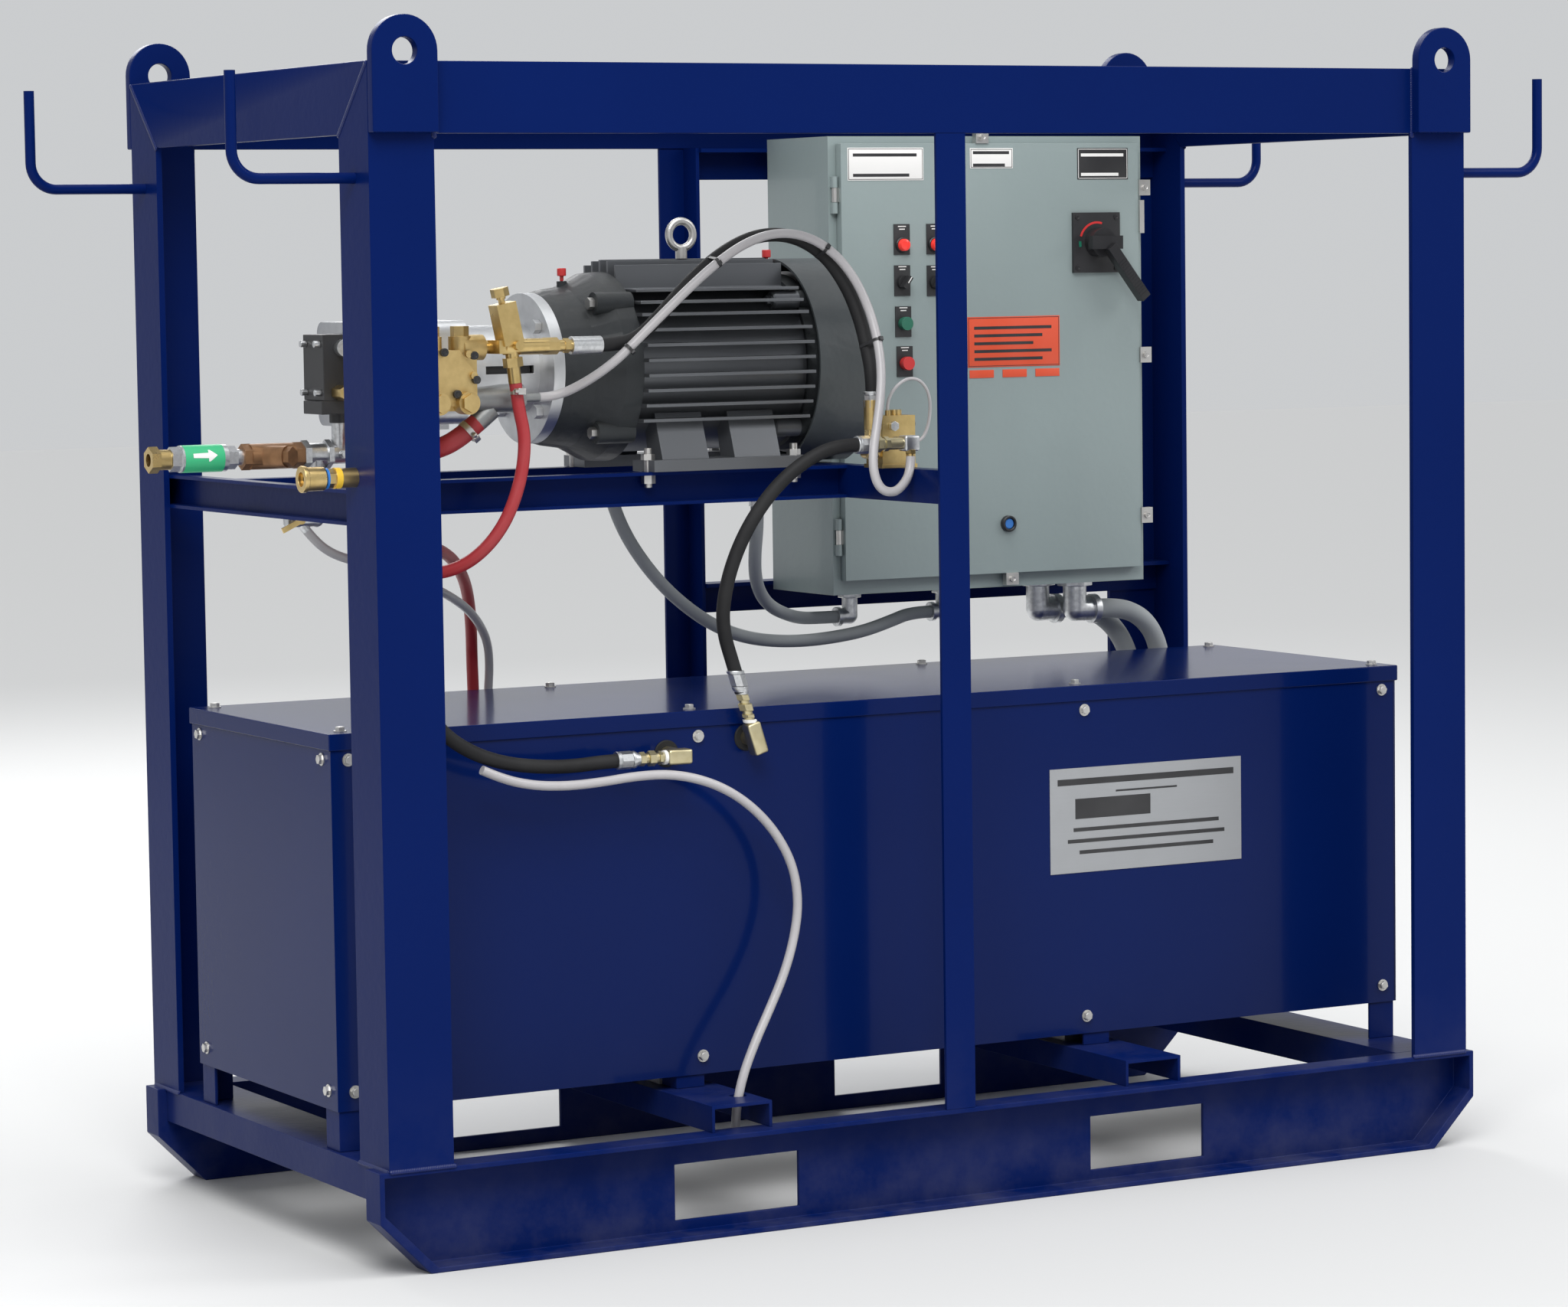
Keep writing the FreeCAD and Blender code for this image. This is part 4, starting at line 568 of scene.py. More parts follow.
    def piece(self, name: str, smooth: float = 35.0) -> bpy.types.Object:
        """Turns the shape into an object at the origin.

        Args:
            name: The piece's name.
            smooth: Edges under this many degrees are shaded smooth.

        Returns:
            The new object.
        """
        bmesh.ops.recalc_face_normals(self.bm, faces=self.bm.faces)
        mesh = bpy.data.meshes.new(name)
        self.bm.to_mesh(mesh)
        self.bm.free()
        obj = bpy.data.objects.new(name, mesh)
        bpy.context.scene.collection.objects.link(obj)
        shade(obj, smooth)
        return obj


def shade(obj: bpy.types.Object, degrees: float) -> None:
    """Shades a mesh smooth, with sharp edges where its faces meet at more than an angle."""
    for face in obj.data.polygons:
        face.use_smooth = True
    obj.data.set_sharp_from_angle(angle=math.radians(degrees))


def flatten_shading(obj: bpy.types.Object) -> None:
    """Keeps large faces evenly shaded beside their rounded edges, by weighting normals by area."""
    modifier = obj.modifiers.new("weights", "WEIGHTED_NORMAL")
    modifier.keep_sharp = True
    modifier.weight = 80
    depsgraph = bpy.context.evaluated_depsgraph_get()
    depsgraph.update()
    result = bpy.data.meshes.new_from_object(obj.evaluated_get(depsgraph))
    obj.modifiers.remove(modifier)
    obj.data = result


def dress(obj: bpy.types.Object, finish: Finish, body: str,
          replaces: Sequence[str] = ()) -> bpy.types.Object:
    """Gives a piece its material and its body.

    Args:
        obj: The piece.
        finish: Its finish.
        body: The body it moves with.
        replaces: CAD nodes that it stands for.

    Returns:
        The same object.
    """
    if obj.type == "MESH":
        obj.data.materials.clear()
    obj.data.materials.append(finish.material())
    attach(obj, body)
    if replaces:
        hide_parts(*replaces)
    log.info("piece %s rides on %s", obj.name, body)
    return obj


@dataclass(frozen=True)
class Region:
    """A box in the frame of the machine, in metres."""

    lo: Point = (-9.0, -9.0, -9.0)
    hi: Point = (9.0, 9.0, 9.0)

    def holds(self, point: Vector) -> bool:
        """True if the point is in the box."""
        return all(a <= p <= b for a, p, b in zip(self.lo, point, self.hi))


def islands(bm: bmesh.types.BMesh) -> list[list[bmesh.types.BMVert]]:
    """The separate solids of a mesh, each as its vertices."""
    seen: set = set()
    found = []
    for start in bm.verts:
        if start in seen:
            continue
        group, queue = [], [start]
        seen.add(start)
        while queue:
            vert = queue.pop()
            group.append(vert)
            for edge in vert.link_edges:
                other = edge.other_vert(vert)
                if other not in seen:
                    seen.add(other)
                    queue.append(other)
        found.append(group)
    return found


def middle(verts: Sequence[bmesh.types.BMVert]) -> Vector:
    """The middle of the box round some vertices."""
    lo = Vector([min(v.co[k] for v in verts) for k in range(3)])
    hi = Vector([max(v.co[k] for v in verts) for k in range(3)])
    return (lo + hi) / 2


def eased(node: str, width: float, finish: Finish, body: str = "frame", segments: int = 2,
          angle: float = 40.0, regions: Sequence[Region] = (), leave: Sequence[Region] = (),
          label: str = "eased") -> bpy.types.Object:
    """A copy of a CAD node with its sharp edges rounded, which stands for the node.

    Args:
        node: The CAD node.
        width: Radius given to the edges.
        finish: The copy's finish.
        body: The body that the node rides on.
        segments: Steps in each rounded edge.
        angle: Edges sharper than this many degrees are rounded.
        regions: Where given, only the node's solids with their middle in one of these are kept.
        leave: Solids with their middle in one of these are left out.
        label: The end of the piece's name.

    Returns:
        The new piece.
    """
    bm = bmesh.new()
    bm.from_mesh(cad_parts[node].data)
    bmesh.ops.remove_doubles(bm, verts=bm.verts, dist=2e-5)
    if regions or leave:
        for group in islands(bm):
            at = middle(group)
            kept = not regions or any(region.holds(at) for region in regions)
            if not kept or any(region.holds(at) for region in leave):
                bmesh.ops.delete(bm, geom=group, context="VERTS")
    bmesh.ops.dissolve_limit(bm, angle_limit=math.radians(0.6), verts=bm.verts, edges=bm.edges)
    for edge in bm.edges:
        edge.smooth = True
    sharp = [e for e in bm.edges if e.is_manifold and e.calc_face_angle(0.0) > math.radians(angle)]
    bmesh.ops.bevel(bm, geom=sharp, offset=width, segments=segments, profile=0.5, affect="EDGES",
                    clamp_overlap=True)
    name = f"{node}_{label}"
    mesh = bpy.data.meshes.new(name)
    bm.to_mesh(mesh)
    bm.free()
    obj = bpy.data.objects.new(name, mesh)
    bpy.context.scene.collection.objects.link(obj)
    shade(obj, 32.0)
    flatten_shading(obj)
    return dress(obj, finish, body, [node])


def coat(node: str, *finishes: Finish) -> None:
    """Gives a CAD node that is shown as it is the finish named."""
    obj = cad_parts[node]
    obj.data.materials.clear()
    for finish in finishes:
        obj.data.materials.append(finish.material())


# ---------------------------------------------------------------- what repeats

def geometry_tree(name: str, inputs: Sequence[tuple[str, str, object]]) -> Net:
    """Starts a Geometry Nodes tree with a Geometry socket each way and named inputs."""
    tree = bpy.data.node_groups.new(name, "GeometryNodeTree")
    tree.interface.new_socket(name="Geometry", in_out="INPUT", socket_type="NodeSocketGeometry")
    for label, kind, default in inputs:
        socket = tree.interface.new_socket(name=label, in_out="INPUT", socket_type=kind)
        if default is not None:
            socket.default_value = default
    tree.interface.new_socket(name="Geometry", in_out="OUTPUT", socket_type="NodeSocketGeometry")
    net = Net(tree)
    net.source = net.add("NodeGroupInput")
    net.sink = net.add("NodeGroupOutput")
    return net


class Pattern:
    """A Geometry Nodes tree that repeats one small shape at given places."""

    def __init__(self, name: str, build: Callable[[Net], bpy.types.NodeSocket],
                 inputs: Sequence[tuple[str, str, object]]) -> None:
        """Builds the tree.

        Args:
            name: The tree's name.
            build: Adds the nodes that make one shape with its foot at the origin and its head along +Z.
            inputs: The tree's named sizes.
        """
        net = geometry_tree(name, [("Finish", "NodeSocketMaterial", None),
                                   ("Jitter", "NodeSocketFloat", 0.0),
                                   ("Seed", "NodeSocketInt", 7)] + list(inputs))
        src = net.source.outputs
        facing = net.add("GeometryNodeInputNamedAttribute", {"Name": "facing"}, data_type="FLOAT_VECTOR")
        turn = net.add("FunctionNodeAlignRotationToVector", {"Vector": facing.outputs[0]}, axis="Z")
        spin = net.add("FunctionNodeRandomValue", {"Seed": src["Seed"]}, data_type="FLOAT")
        spin.inputs[2].default_value = -3.14159
        spin.inputs[3].default_value = 3.14159
        angle = net.math("MULTIPLY", spin.outputs[1], src["Jitter"])
        about = net.add("FunctionNodeAxisAngleToRotation", {"Axis": (0.0, 0.0, 1.0), "Angle": angle})
        both = net.add("FunctionNodeRotateRotation", {0: turn.outputs[0], 1: about.outputs[0]},
                       rotation_space="LOCAL")
        shape = build(net)
        placed = net.add("GeometryNodeInstanceOnPoints", {"Points": src["Geometry"], "Instance": shape,
                                                          "Rotation": both.outputs[0]})
        real = net.add("GeometryNodeRealizeInstances", {0: placed.outputs[0]})
        done = net.add("GeometryNodeSetMaterial", {0: real.outputs[0], "Material": src["Finish"]})
        net.tree.links.new(done.outputs[0], net.sink.inputs[0])
        self.tree = net.tree

    def spread(self, name: str, places: Sequence[tuple[Point, Point]], finish: Finish, body: str, slot: str,
               replaces: Sequence[str] = (), smooth: float = 40.0, **sizes: float) -> bpy.types.Object:
        """Repeats the shape at every place and keeps the result as a plain mesh.

        Args:
            name: The new piece's name.
            places: Foot point and facing direction of each copy.
            finish: The finish of the copies.
            body: The body they ride on.
            slot: Not used.
            replaces: CAD nodes the copies stand for.
            smooth: Angle under which edges are shaded smooth.
            sizes: Values of the tree's named inputs, with _ for a space.

        Returns:
            The finished piece.
        """
        mesh = bpy.data.meshes.new(name + "_places")
        mesh.from_pydata([p for p, _ in places], [], [])
        facing = mesh.attributes.new("facing", "FLOAT_VECTOR", "POINT")
        for k, (_, direction) in enumerate(places):
            facing.data[k].vector = Vector(direction).normalized()
        holder = bpy.data.objects.new(name + "_places", mesh)
        bpy.context.scene.collection.objects.link(holder)
        modifier = holder.modifiers.new("repeat", "NODES")
        modifier.node_group = self.tree
        values = {"Finish": finish.material()}
        values.update({key.replace("_", " "): value for key, value in sizes.items()})
        for item in self.tree.interface.items_tree:
            if item.in_out == "INPUT" and item.name in values:
                modifier[item.identifier] = values[item.name]
        depsgraph = bpy.context.evaluated_depsgraph_get()
        depsgraph.update()
        result = bpy.data.meshes.new_from_object(holder.evaluated_get(depsgraph))
        holder.modifiers.remove(modifier)
        bpy.data.objects.remove(holder)
        obj = bpy.data.objects.new(name, result)
        bpy.context.scene.collection.objects.link(obj)
        shade(obj, smooth)
        return dress(obj, finish, body, replaces)


def bolt_shape(net: Net) -> bpy.types.NodeSocket:
    """One hexagon bolt head with a raised round face and a washer under it."""
    src = net.source.outputs
    washer = net.add("GeometryNodeMeshCylinder", {"Vertices": 28, "Radius": src["Washer"], "Depth": 0.0016})
    lift = net.add("GeometryNodeTransform", {0: washer.outputs["Mesh"], "Translation": (0.0, 0.0, 0.0008)})
    radius = net.math("MULTIPLY", src["Flats"], 0.57735)
    half = net.math("MULTIPLY", src["Height"], 0.5)
    head = net.add("GeometryNodeMeshCylinder", {"Vertices": 6, "Radius": radius, "Depth": src["Height"]})
    up = net.add("ShaderNodeCombineXYZ", {2: net.math("ADD", half, 0.0016)}).outputs[0]
    head = net.add("GeometryNodeTransform", {0: head.outputs["Mesh"], "Translation": up})
    top = net.add("GeometryNodeMeshCone",
                  {"Vertices": 24, "Radius Bottom": net.math("MULTIPLY", src["Flats"], 0.47),
                   "Radius Top": net.math("MULTIPLY", src["Flats"], 0.43),
                   "Depth": net.math("MULTIPLY", src["Height"], 0.12)})
    high = net.add("ShaderNodeCombineXYZ", {2: net.math("ADD", src["Height"], 0.0015)}).outputs[0]
    top = net.add("GeometryNodeTransform", {0: top.outputs["Mesh"], "Translation": high})
    joined = net.add("GeometryNodeJoinGeometry")
    for part in (lift, head, top):
        net.tree.links.new(part.outputs[0], joined.inputs[0])
    return joined.outputs[0]


def bead_shape(net: Net) -> bpy.types.NodeSocket:
    """One ripple of a weld bead."""
    src = net.source.outputs
    drop = net.add("GeometryNodeMeshUVSphere", {"Segments": 10, "Rings": 6, "Radius": src["Width"]})
    size = net.add("ShaderNodeCombineXYZ", {0: 1.0, 1: 1.0, 2: src["Rise"]}).outputs[0]
    return net.add("GeometryNodeTransform", {0: drop.outputs["Mesh"], "Scale": size}).outputs[0]


def socket_shape(net: Net) -> bpy.types.NodeSocket:
    """One cap screw head with a dark hexagon recess shown as a sunk ring."""
    src = net.source.outputs
    head = net.add("GeometryNodeMeshCylinder",
                   {"Vertices": 24, "Radius": src["Radius"], "Depth": src["Height"]})
    lift = net.add("ShaderNodeCombineXYZ", {2: net.math("MULTIPLY", src["Height"], 0.5)}).outputs[0]
    head = net.add("GeometryNodeTransform", {0: head.outputs["Mesh"], "Translation": lift})
    rim = net.add("GeometryNodeMeshCone",
                  {"Vertices": 6, "Radius Bottom": net.math("MULTIPLY", src["Radius"], 0.45),
                   "Radius Top": net.math("MULTIPLY", src["Radius"], 0.6), "Depth": 0.0006,
                   }, fill_type="NONE")
    high = net.add("ShaderNodeCombineXYZ", {2: src["Height"]}).outputs[0]
    rim = net.add("GeometryNodeTransform", {0: rim.outputs["Mesh"], "Translation": high})
    joined = net.add("GeometryNodeJoinGeometry")
    for part in (head, rim):
        net.tree.links.new(part.outputs[0], joined.inputs[0])
    return joined.outputs[0]


def rib_shape(net: Net) -> bpy.types.NodeSocket:
    """One raised rib across a grip."""
    src = net.source.outputs
    size = net.add("ShaderNodeCombineXYZ", {0: src["Long"], 1: src["Thick"], 2: 0.0016}).outputs[0]
    bar = net.add("GeometryNodeMeshCube", {"Size": size})
    turn = net.add("ShaderNodeCombineXYZ", {2: src["Lean"]}).outputs[0]
    return net.add("GeometryNodeTransform", {0: bar.outputs["Mesh"], "Rotation": turn}).outputs[0]


BOLTS = Pattern("hex_bolts", bolt_shape,
                [("Flats", "NodeSocketFloat", 0.013), ("Height", "NodeSocketFloat", 0.006),
                 ("Washer", "NodeSocketFloat", 0.0095)])
BEADS = Pattern("weld_ripples", bead_shape,
                [("Width", "NodeSocketFloat", 0.005), ("Rise", "NodeSocketFloat", 0.6)])
RIBS = Pattern("grip_ribs", rib_shape,
               [("Long", "NodeSocketFloat", 0.015), ("Thick", "NodeSocketFloat", 0.002),
                ("Lean", "NodeSocketFloat", 0.0)])
SCREWS = Pattern("cap_screws", socket_shape, [("Radius", "NodeSocketFloat", 0.006),
                                              ("Height", "NodeSocketFloat", 0.006)])


# ---------------------------------------------------------------- sub-assemblies

@dataclass
class Cage:
    """The welded frame with its skid, lifting lugs, hose hooks and deck."""

    half_l: float = 0.950
    half_w: float = 0.4475
    angle: float = 0.1016
    rail_top: float = 1.725
    skid_top: float = 0.1524
    bead: float = 0.0042
    edge: float = 0.0016

    def build(self) -> None:
        """Rounds the steel sections and lays the weld beads."""
        for node in ("posts", "top_rails", "skid_runners", "base_channels", "deck_beams"):
            eased(node, self.edge, BLUE)
        eased("lifting_lugs", 0.0022, BLUE)
        coat("hose_hooks", BLUE)
        self.welds()

    def line(self, a: Point, b: Point, facing: Point, step: float = 0.0035) -> list[tuple[Point, Point]]:
        """Places a ripple every few millimetres along a straight joint.

        Args:
            a: Start of the bead.
            b: End of the bead.
            facing: The way the bead stands out.
            step: Distance between ripples.

        Returns:
            Foot points and directions.
        """
        start, end = Vector(a), Vector(b)
        count = max(2, int((end - start).length / step))
        return [(tuple(start.lerp(end, k / count)), facing) for k in range(count + 1)]

    def welds(self) -> None:
        """Beads at the mitres, the lug plates, the post feet and the deck ends."""
        places: list[tuple[Point, Point]] = []
        low = self.rail_top - self.angle
        for sx in (-1, 1):
            for sy in (-1, 1):
                x, y = sx * self.half_l, sy * self.half_w
                ix, iy = sx * (self.half_l - self.angle), sy * (self.half_w - self.angle)
                places += self.line((x, sy * (self.half_w - 0.004), self.rail_top - 0.004), (x, iy, low),
                                    (sx, 0, 0))
                places += self.line((ix, y, low), (ix, y, self.rail_top - 0.105), (0, sy, 0))
                edge = sx * (self.half_l - 0.101)
                places += self.line((edge, y, low + 0.004), (edge, y, self.rail_top - 0.002), (0, sy, 0))
                places += self.line((x, y - sy * 0.006, self.skid_top + 0.001),
                                    (x, iy, self.skid_top + 0.001),
                                    (sx, 0, 0.7))
                places += self.line((x - sx * 0.004, y, self.skid_top + 0.001),
                                    (ix, y, self.skid_top + 0.001),
                                    (0, sy, 0.7))
        places = [p for p in places if abs(p[0][0]) < self.half_l + 0.001]
        BEADS.spread("weld_beads", places, WELD, "frame", "painted_blue", smooth=80.0, Width=self.bead,
                     Rise=0.45,
                     Jitter=0.6)


@dataclass
class HeaterCover:
    """The sheet box over the heated vessels, with its folded lid, bolts and plate."""

    half_l: float = 0.950
    half_w: float = 0.2665
    sheet: float = 0.003
    lid_top: float = 0.765
    bottom: float = 0.212
    inner_x: float = 0.3445
    plate_at: tuple[float, float] = (0.460, 0.552)
    plate: tuple[float, float] = (0.362, 0.166)

    def build(self) -> None:
        """Builds the sheet metal, its bolts and the plate."""
        eased("cover_lid", 0.0018, BLUE_SHEET)
        eased("cover_panels", 0.0009, BLUE_SHEET)
        eased("cover_legs", 0.0012, BLUE)
        coat("heater_vessels", SHAFT)
        self.bolts()
        self.name_plate()
        self.grommets()

    def bolts(self) -> None:
        """Hexagon bolts with washers round the lid and down the panels."""
        y = self.half_w - self.sheet - 0.0005
        x_end = self.half_l - self.sheet - 0.0005
        places: list[tuple[Point, Point]] = []
        for s in (-1, 1):
            for x in (-self.half_l + 0.031, -self.inner_x, self.inner_x, self.half_l - 0.031):
                for z in (self.lid_top - 0.039, self.bottom + 0.028):
                    places.append(((x, s * y, z), (0, s, 0)))
                places.append(((x, s * (self.half_w - 0.030), self.lid_top), (0, 0, 1)))
            for z in (self.lid_top - 0.039, self.bottom + 0.028):
                for t in (-1, 1):
                    places.append(((t * x_end, s * (y - 0.031), z), (t, 0, 0)))
        BOLTS.spread("cover_bolt_heads", places, STAINLESS, "frame", "steel", ["cover_bolts"], Jitter=0.4,
                     Flats=0.0125, Height=0.0052, Washer=0.0095)

    def name_plate(self) -> None:
        """A plain grey plate with a darker printed field and pale bands."""
        x, z = self.plate_at
        w, h = self.plate
        y = -self.half_w + self.sheet + 0.0005
        coat("nameplate", PLATE_GREY)
        face = y - 0.0010
        field = Shape().block((x - w * 0.37, face - 0.0003, z + 0.002),
                              (x + w * 0.02, face + 0.0002, z + 0.034), 0.0001)
        dress(field.piece("plate_dark_field"), LABEL_BLACK, "frame")
        bars = Shape()
        for row, (share, size) in enumerate(((0.46, 0.010), (0.16, 0.003))):
            top = z + 0.066 - 0.022 * row
            bars.block((x - w * share, face - 0.0003, top - size), (x + w * share, face + 0.0002, top),
                       0.0001)
        for row in range(3):
            top = z - 0.012 - 0.018 * row
            half = w * (0.38, 0.41, 0.35)[row]
            bars.block((x - half, face - 0.0003, top - 0.006), (x + half, face + 0.0002, top), 0.0001)
        dress(bars.piece("plate_plain_bands"), LABEL_BLACK, "frame")

    def grommets(self) -> None:
        """Rubber rings where the two hose elbows go through the front panel."""
        y = -self.half_w + self.sheet + 0.0005
        rings = Shape()
        for end in HOSE_ENDS:
            foot = end.foot()
            rings.lathe((foot.x, y, foot.z), (0, -1, 0), [(0.0, 0.0110), (0.0, 0.0205), (0.0016, 0.0205),
                                                          (0.0030, 0.0190), (0.0030, 0.0125)], 40)
        dress(rings.piece("panel_grommets"), RUBBER, "frame")


@dataclass
class Motor:
    """The fan-cooled motor with its end bells, cowl, eyebolt and foot bolts."""

    axis_z: float = 1.27875
    fin_r: float = 0.166
    frame_x: tuple[float, float] = (-0.364, -0.074)
    shoulder_rises: tuple[float, float] = (0.0985, 0.1165)
    fin_half: float = 0.0026

    def build(self) -> None:
        """Dresses the castings and the turned parts."""
        eased("motor_frame", 0.0012, IRON)
        coat("motor_end_bells", BELL)
        coat("motor_fan_cowl", COWL)
        coat("motor_rotor", SHAFT)
        caps = (Region((-0.45, -0.02, self.axis_z + 0.128), (-0.41, 0.02, 1.6)),
                Region((-0.09, -0.02, self.axis_z + 0.128), (-0.05, 0.02, 1.6)))
        eased("motor_hardware", 0.0008, STAINLESS, leave=caps)
        eased("motor_hardware", 0.0012, RED, regions=caps, label="relief_caps")
        eased("bell_housing", 0.0012, ALUMINIUM)
        self.slot_shadow()
        self.upper_fins()
        self.rear_pads()

    def slot_shadow(self) -> None:
        """Painted shade: the dark inside of the bell housing's window, shown as a sunk black strip."""
        shape = Shape()
        for s in (-1, 1):
            y = s * 0.0575
            shape.block((-0.590, min(y, y + s * 0.0012), self.axis_z - 0.0055),
                        (-0.514, max(y, y + s * 0.0012), self.axis_z + 0.0055), 0.0002)
        # A thin black strip painted where only shade falls inside the window.
        dress(shape.piece("window_painted_shade_strip"), BLACK, "frame")

    def upper_fins(self) -> None:
        """Short cooling fins on the shoulders of the frame, between the side fins and the top ones."""
        shape = Shape()
        for rise in self.shoulder_rises:
            wide = math.sqrt(self.fin_r ** 2 - rise ** 2) - 0.004
            for s in (-1, 1):
                y0, y1 = sorted((s * 0.050, s * wide))
                z = self.axis_z + rise
                shape.block((self.frame_x[0] + 0.004, y0, z - self.fin_half),
                            (self.frame_x[1] - 0.002, y1, z + self.fin_half), 0.0012)
        dress(shape.piece("motor_shoulder_fins"), IRON, "frame")

    def rear_pads(self) -> None:
        """Cast pads with bolts at the rear end of the frame."""
        pads = Shape()
        places = []
        x = self.frame_x[1] - 0.046
        for s in (-1, 1):
            for q in (-1, 1):
                y, z = s * 0.1000, self.axis_z + q * 0.0980
                pads.lathe((x, y, z), (1, 0, 0),
                           [(0.0, 0.0), (0.0, 0.0125), (0.003, 0.0150), (0.045, 0.0150),
                            (0.045, 0.0)], 24)
                places.append(((x, y, z), (-1, 0, 0)))
        dress(pads.piece("motor_rear_pads"), IRON, "frame")
        BOLTS.spread("motor_rear_bolts", places, IRON, "frame", "motor_grey", Jitter=0.5, Flats=0.013,
                     Height=0.006,
                     Washer=0.009)


@dataclass
class Pump:
    """The plunger pump with its brass manifold and unloader."""

    def build(self) -> None:
        """Dresses the pump."""
        coat("pump_crankcase", ALUMINIUM)
        coat("pump_crankshaft", SHAFT)
        coat("pump_plungers", CERAMIC)
        suction = (Region((-0.662, -0.2, 1.15), (-0.5, -0.1, 1.27)),)
        eased("pump_manifold", 0.0014, CAST_BRASS, leave=suction)
        eased("pump_manifold", 0.0012, PIPE, regions=suction, label="suction_pipe")
        crimp = (Region((-0.530, -0.25, 1.29), (-0.455, -0.15, 1.34)),)
        eased("unloader_valve", 0.0010, BRASS, leave=crimp)
        eased("unloader_valve", 0.0008, ZINC, regions=crimp, label="crimp")
        eased("unloader_knob", 0.0006, BRASS, "unloader_knob")
        self.screws()

    def screws(self) -> None:
        """Black socket screws over the manifold's front plate and valve chambers."""
        face = -0.190
        places = [((x, face, z), (0, -1, 0)) for x,
                  z in ((-0.6715, 1.3045), (-0.6685, 1.2685), (-0.7000, 1.2480),
                        (-0.7450, 1.2480), (-0.7200, 1.3100), (-0.7850, 1.3100))]
        SCREWS.spread("manifold_screws", places, BLACK, "frame", "black_plastic", Radius=0.0062,
                      Height=0.006)


@dataclass
class WaterInlet:
    """The inlet train, its valves and the flow switch."""

    def build(self) -> None:
        """Dresses the fittings."""
        coat("inlet_swivel", BRASS)
        eased("inlet_fittings", 0.0008, ZINC)
        eased("inlet_strainer", 0.0015, BRONZE)
        eased("inlet_valve_lever", 0.0008, ZINC, "inlet_lever")
        eased("drain_valve_lever", 0.0006, BRASS, "drain_lever")
        self.switch_block()
        self.flow_label()
        self.lever_grip()

    def switch_block(self) -> None:
        """The flow switch, with zinc bolts and plug and a brass cap."""
        top = 1.16 + 0.058
        bolts = (Region((-0.90, -0.2, top + 0.02), (-0.862, 0.2, top + 0.13)),
                 Region((-0.86, -0.10, top + 0.08), (-0.80, -0.079, top + 0.12)))
        cap = (Region((-0.86, -0.12, top + 0.02), (-0.82, -0.085, top + 0.05)),)
        eased("flow_switch", 0.0014, BLACK, leave=bolts + cap)
        eased("flow_switch", 0.0010, ZINC, regions=bolts, label="bolts")
        eased("flow_switch", 0.0010, BRASS, regions=cap, label="cap")

    def flow_label(self) -> None:
        """A green sleeve round the check valve with a plain white arrow for the flow."""
        at = (-1.077, -0.041, 1.160)
        sleeve = Shape().lathe(at, (1, 0, 0),
                               [(0.0, 0.0195), (0.0, 0.0203), (0.062, 0.0203), (0.062, 0.0195)], 48)
        dress(sleeve.piece("flow_sleeve"), LABEL_GREEN, "frame")
        arrow = Shape()
        radius, count = 0.0206, 22
        rows = []
        for k in range(count + 1):
            high = -0.009 + 0.018 * k / count
            wide = abs(high) <= 0.0035
            tip = 0.050 - abs(high) * 1.3
            back = 0.012 if wide else 0.036
            angle = high / radius + 0.25
            y, z = -0.041 - radius * math.cos(angle), 1.160 + radius * math.sin(angle)
            rows.append([arrow.bm.verts.new((-1.077 + back, y, z)),
                         arrow.bm.verts.new((-1.077 + tip, y, z))])
        for one, two in zip(rows, rows[1:]):
            arrow.bm.faces.new((one[0], one[1], two[1], two[0]))
        dress(arrow.piece("flow_arrow"), LABEL_WHITE, "frame")

    def lever_grip(self) -> None:
        """A red dipped grip over the inlet lever."""
        pivot = Matrix.Translation((-0.826, 0.0, 1.160))
        turn = pivot @ Matrix.Rotation(math.radians(40.0), 4, "Y") @ pivot.inverted()
        grip = Shape().block((-0.8318, -0.0716, 1.160 + 0.016), (-0.8202, -0.0658, 1.160 + 0.0515), 0.0018,
                             turn)
        dress(grip.piece("inlet_lever_grip"), RED, "inlet_lever")


def crimp_shape(start: Vector, along: Vector, length: float) -> Shape:
    """A ferrule pressed on a hose end in eight flats between two round collars."""
    third = length / 3
    shape = Shape().lathe(tuple(start), tuple(along), [(0.0, 0.0106), (0.0, 0.0128), (0.0010, 0.0136),
                                                       (0.0045, 0.0136), (0.0055, 0.0124)], 32)
    shape.lathe(tuple(start + along * 0.0050), tuple(along), [(0.0, 0.0120), (0.0012, 0.0137),
                                                              (2 * third - 0.006, 0.0137),
                                                              (2 * third - 0.005, 0.0120)], 8)
    shape.lathe(tuple(start + along * (2 * third)), tuple(along),
                [(0.0, 0.0126), (0.0020, 0.0130), (0.0050, 0.0130),
                 (third - 0.002, 0.0100), (third, 0.0098)], 32)
    return shape


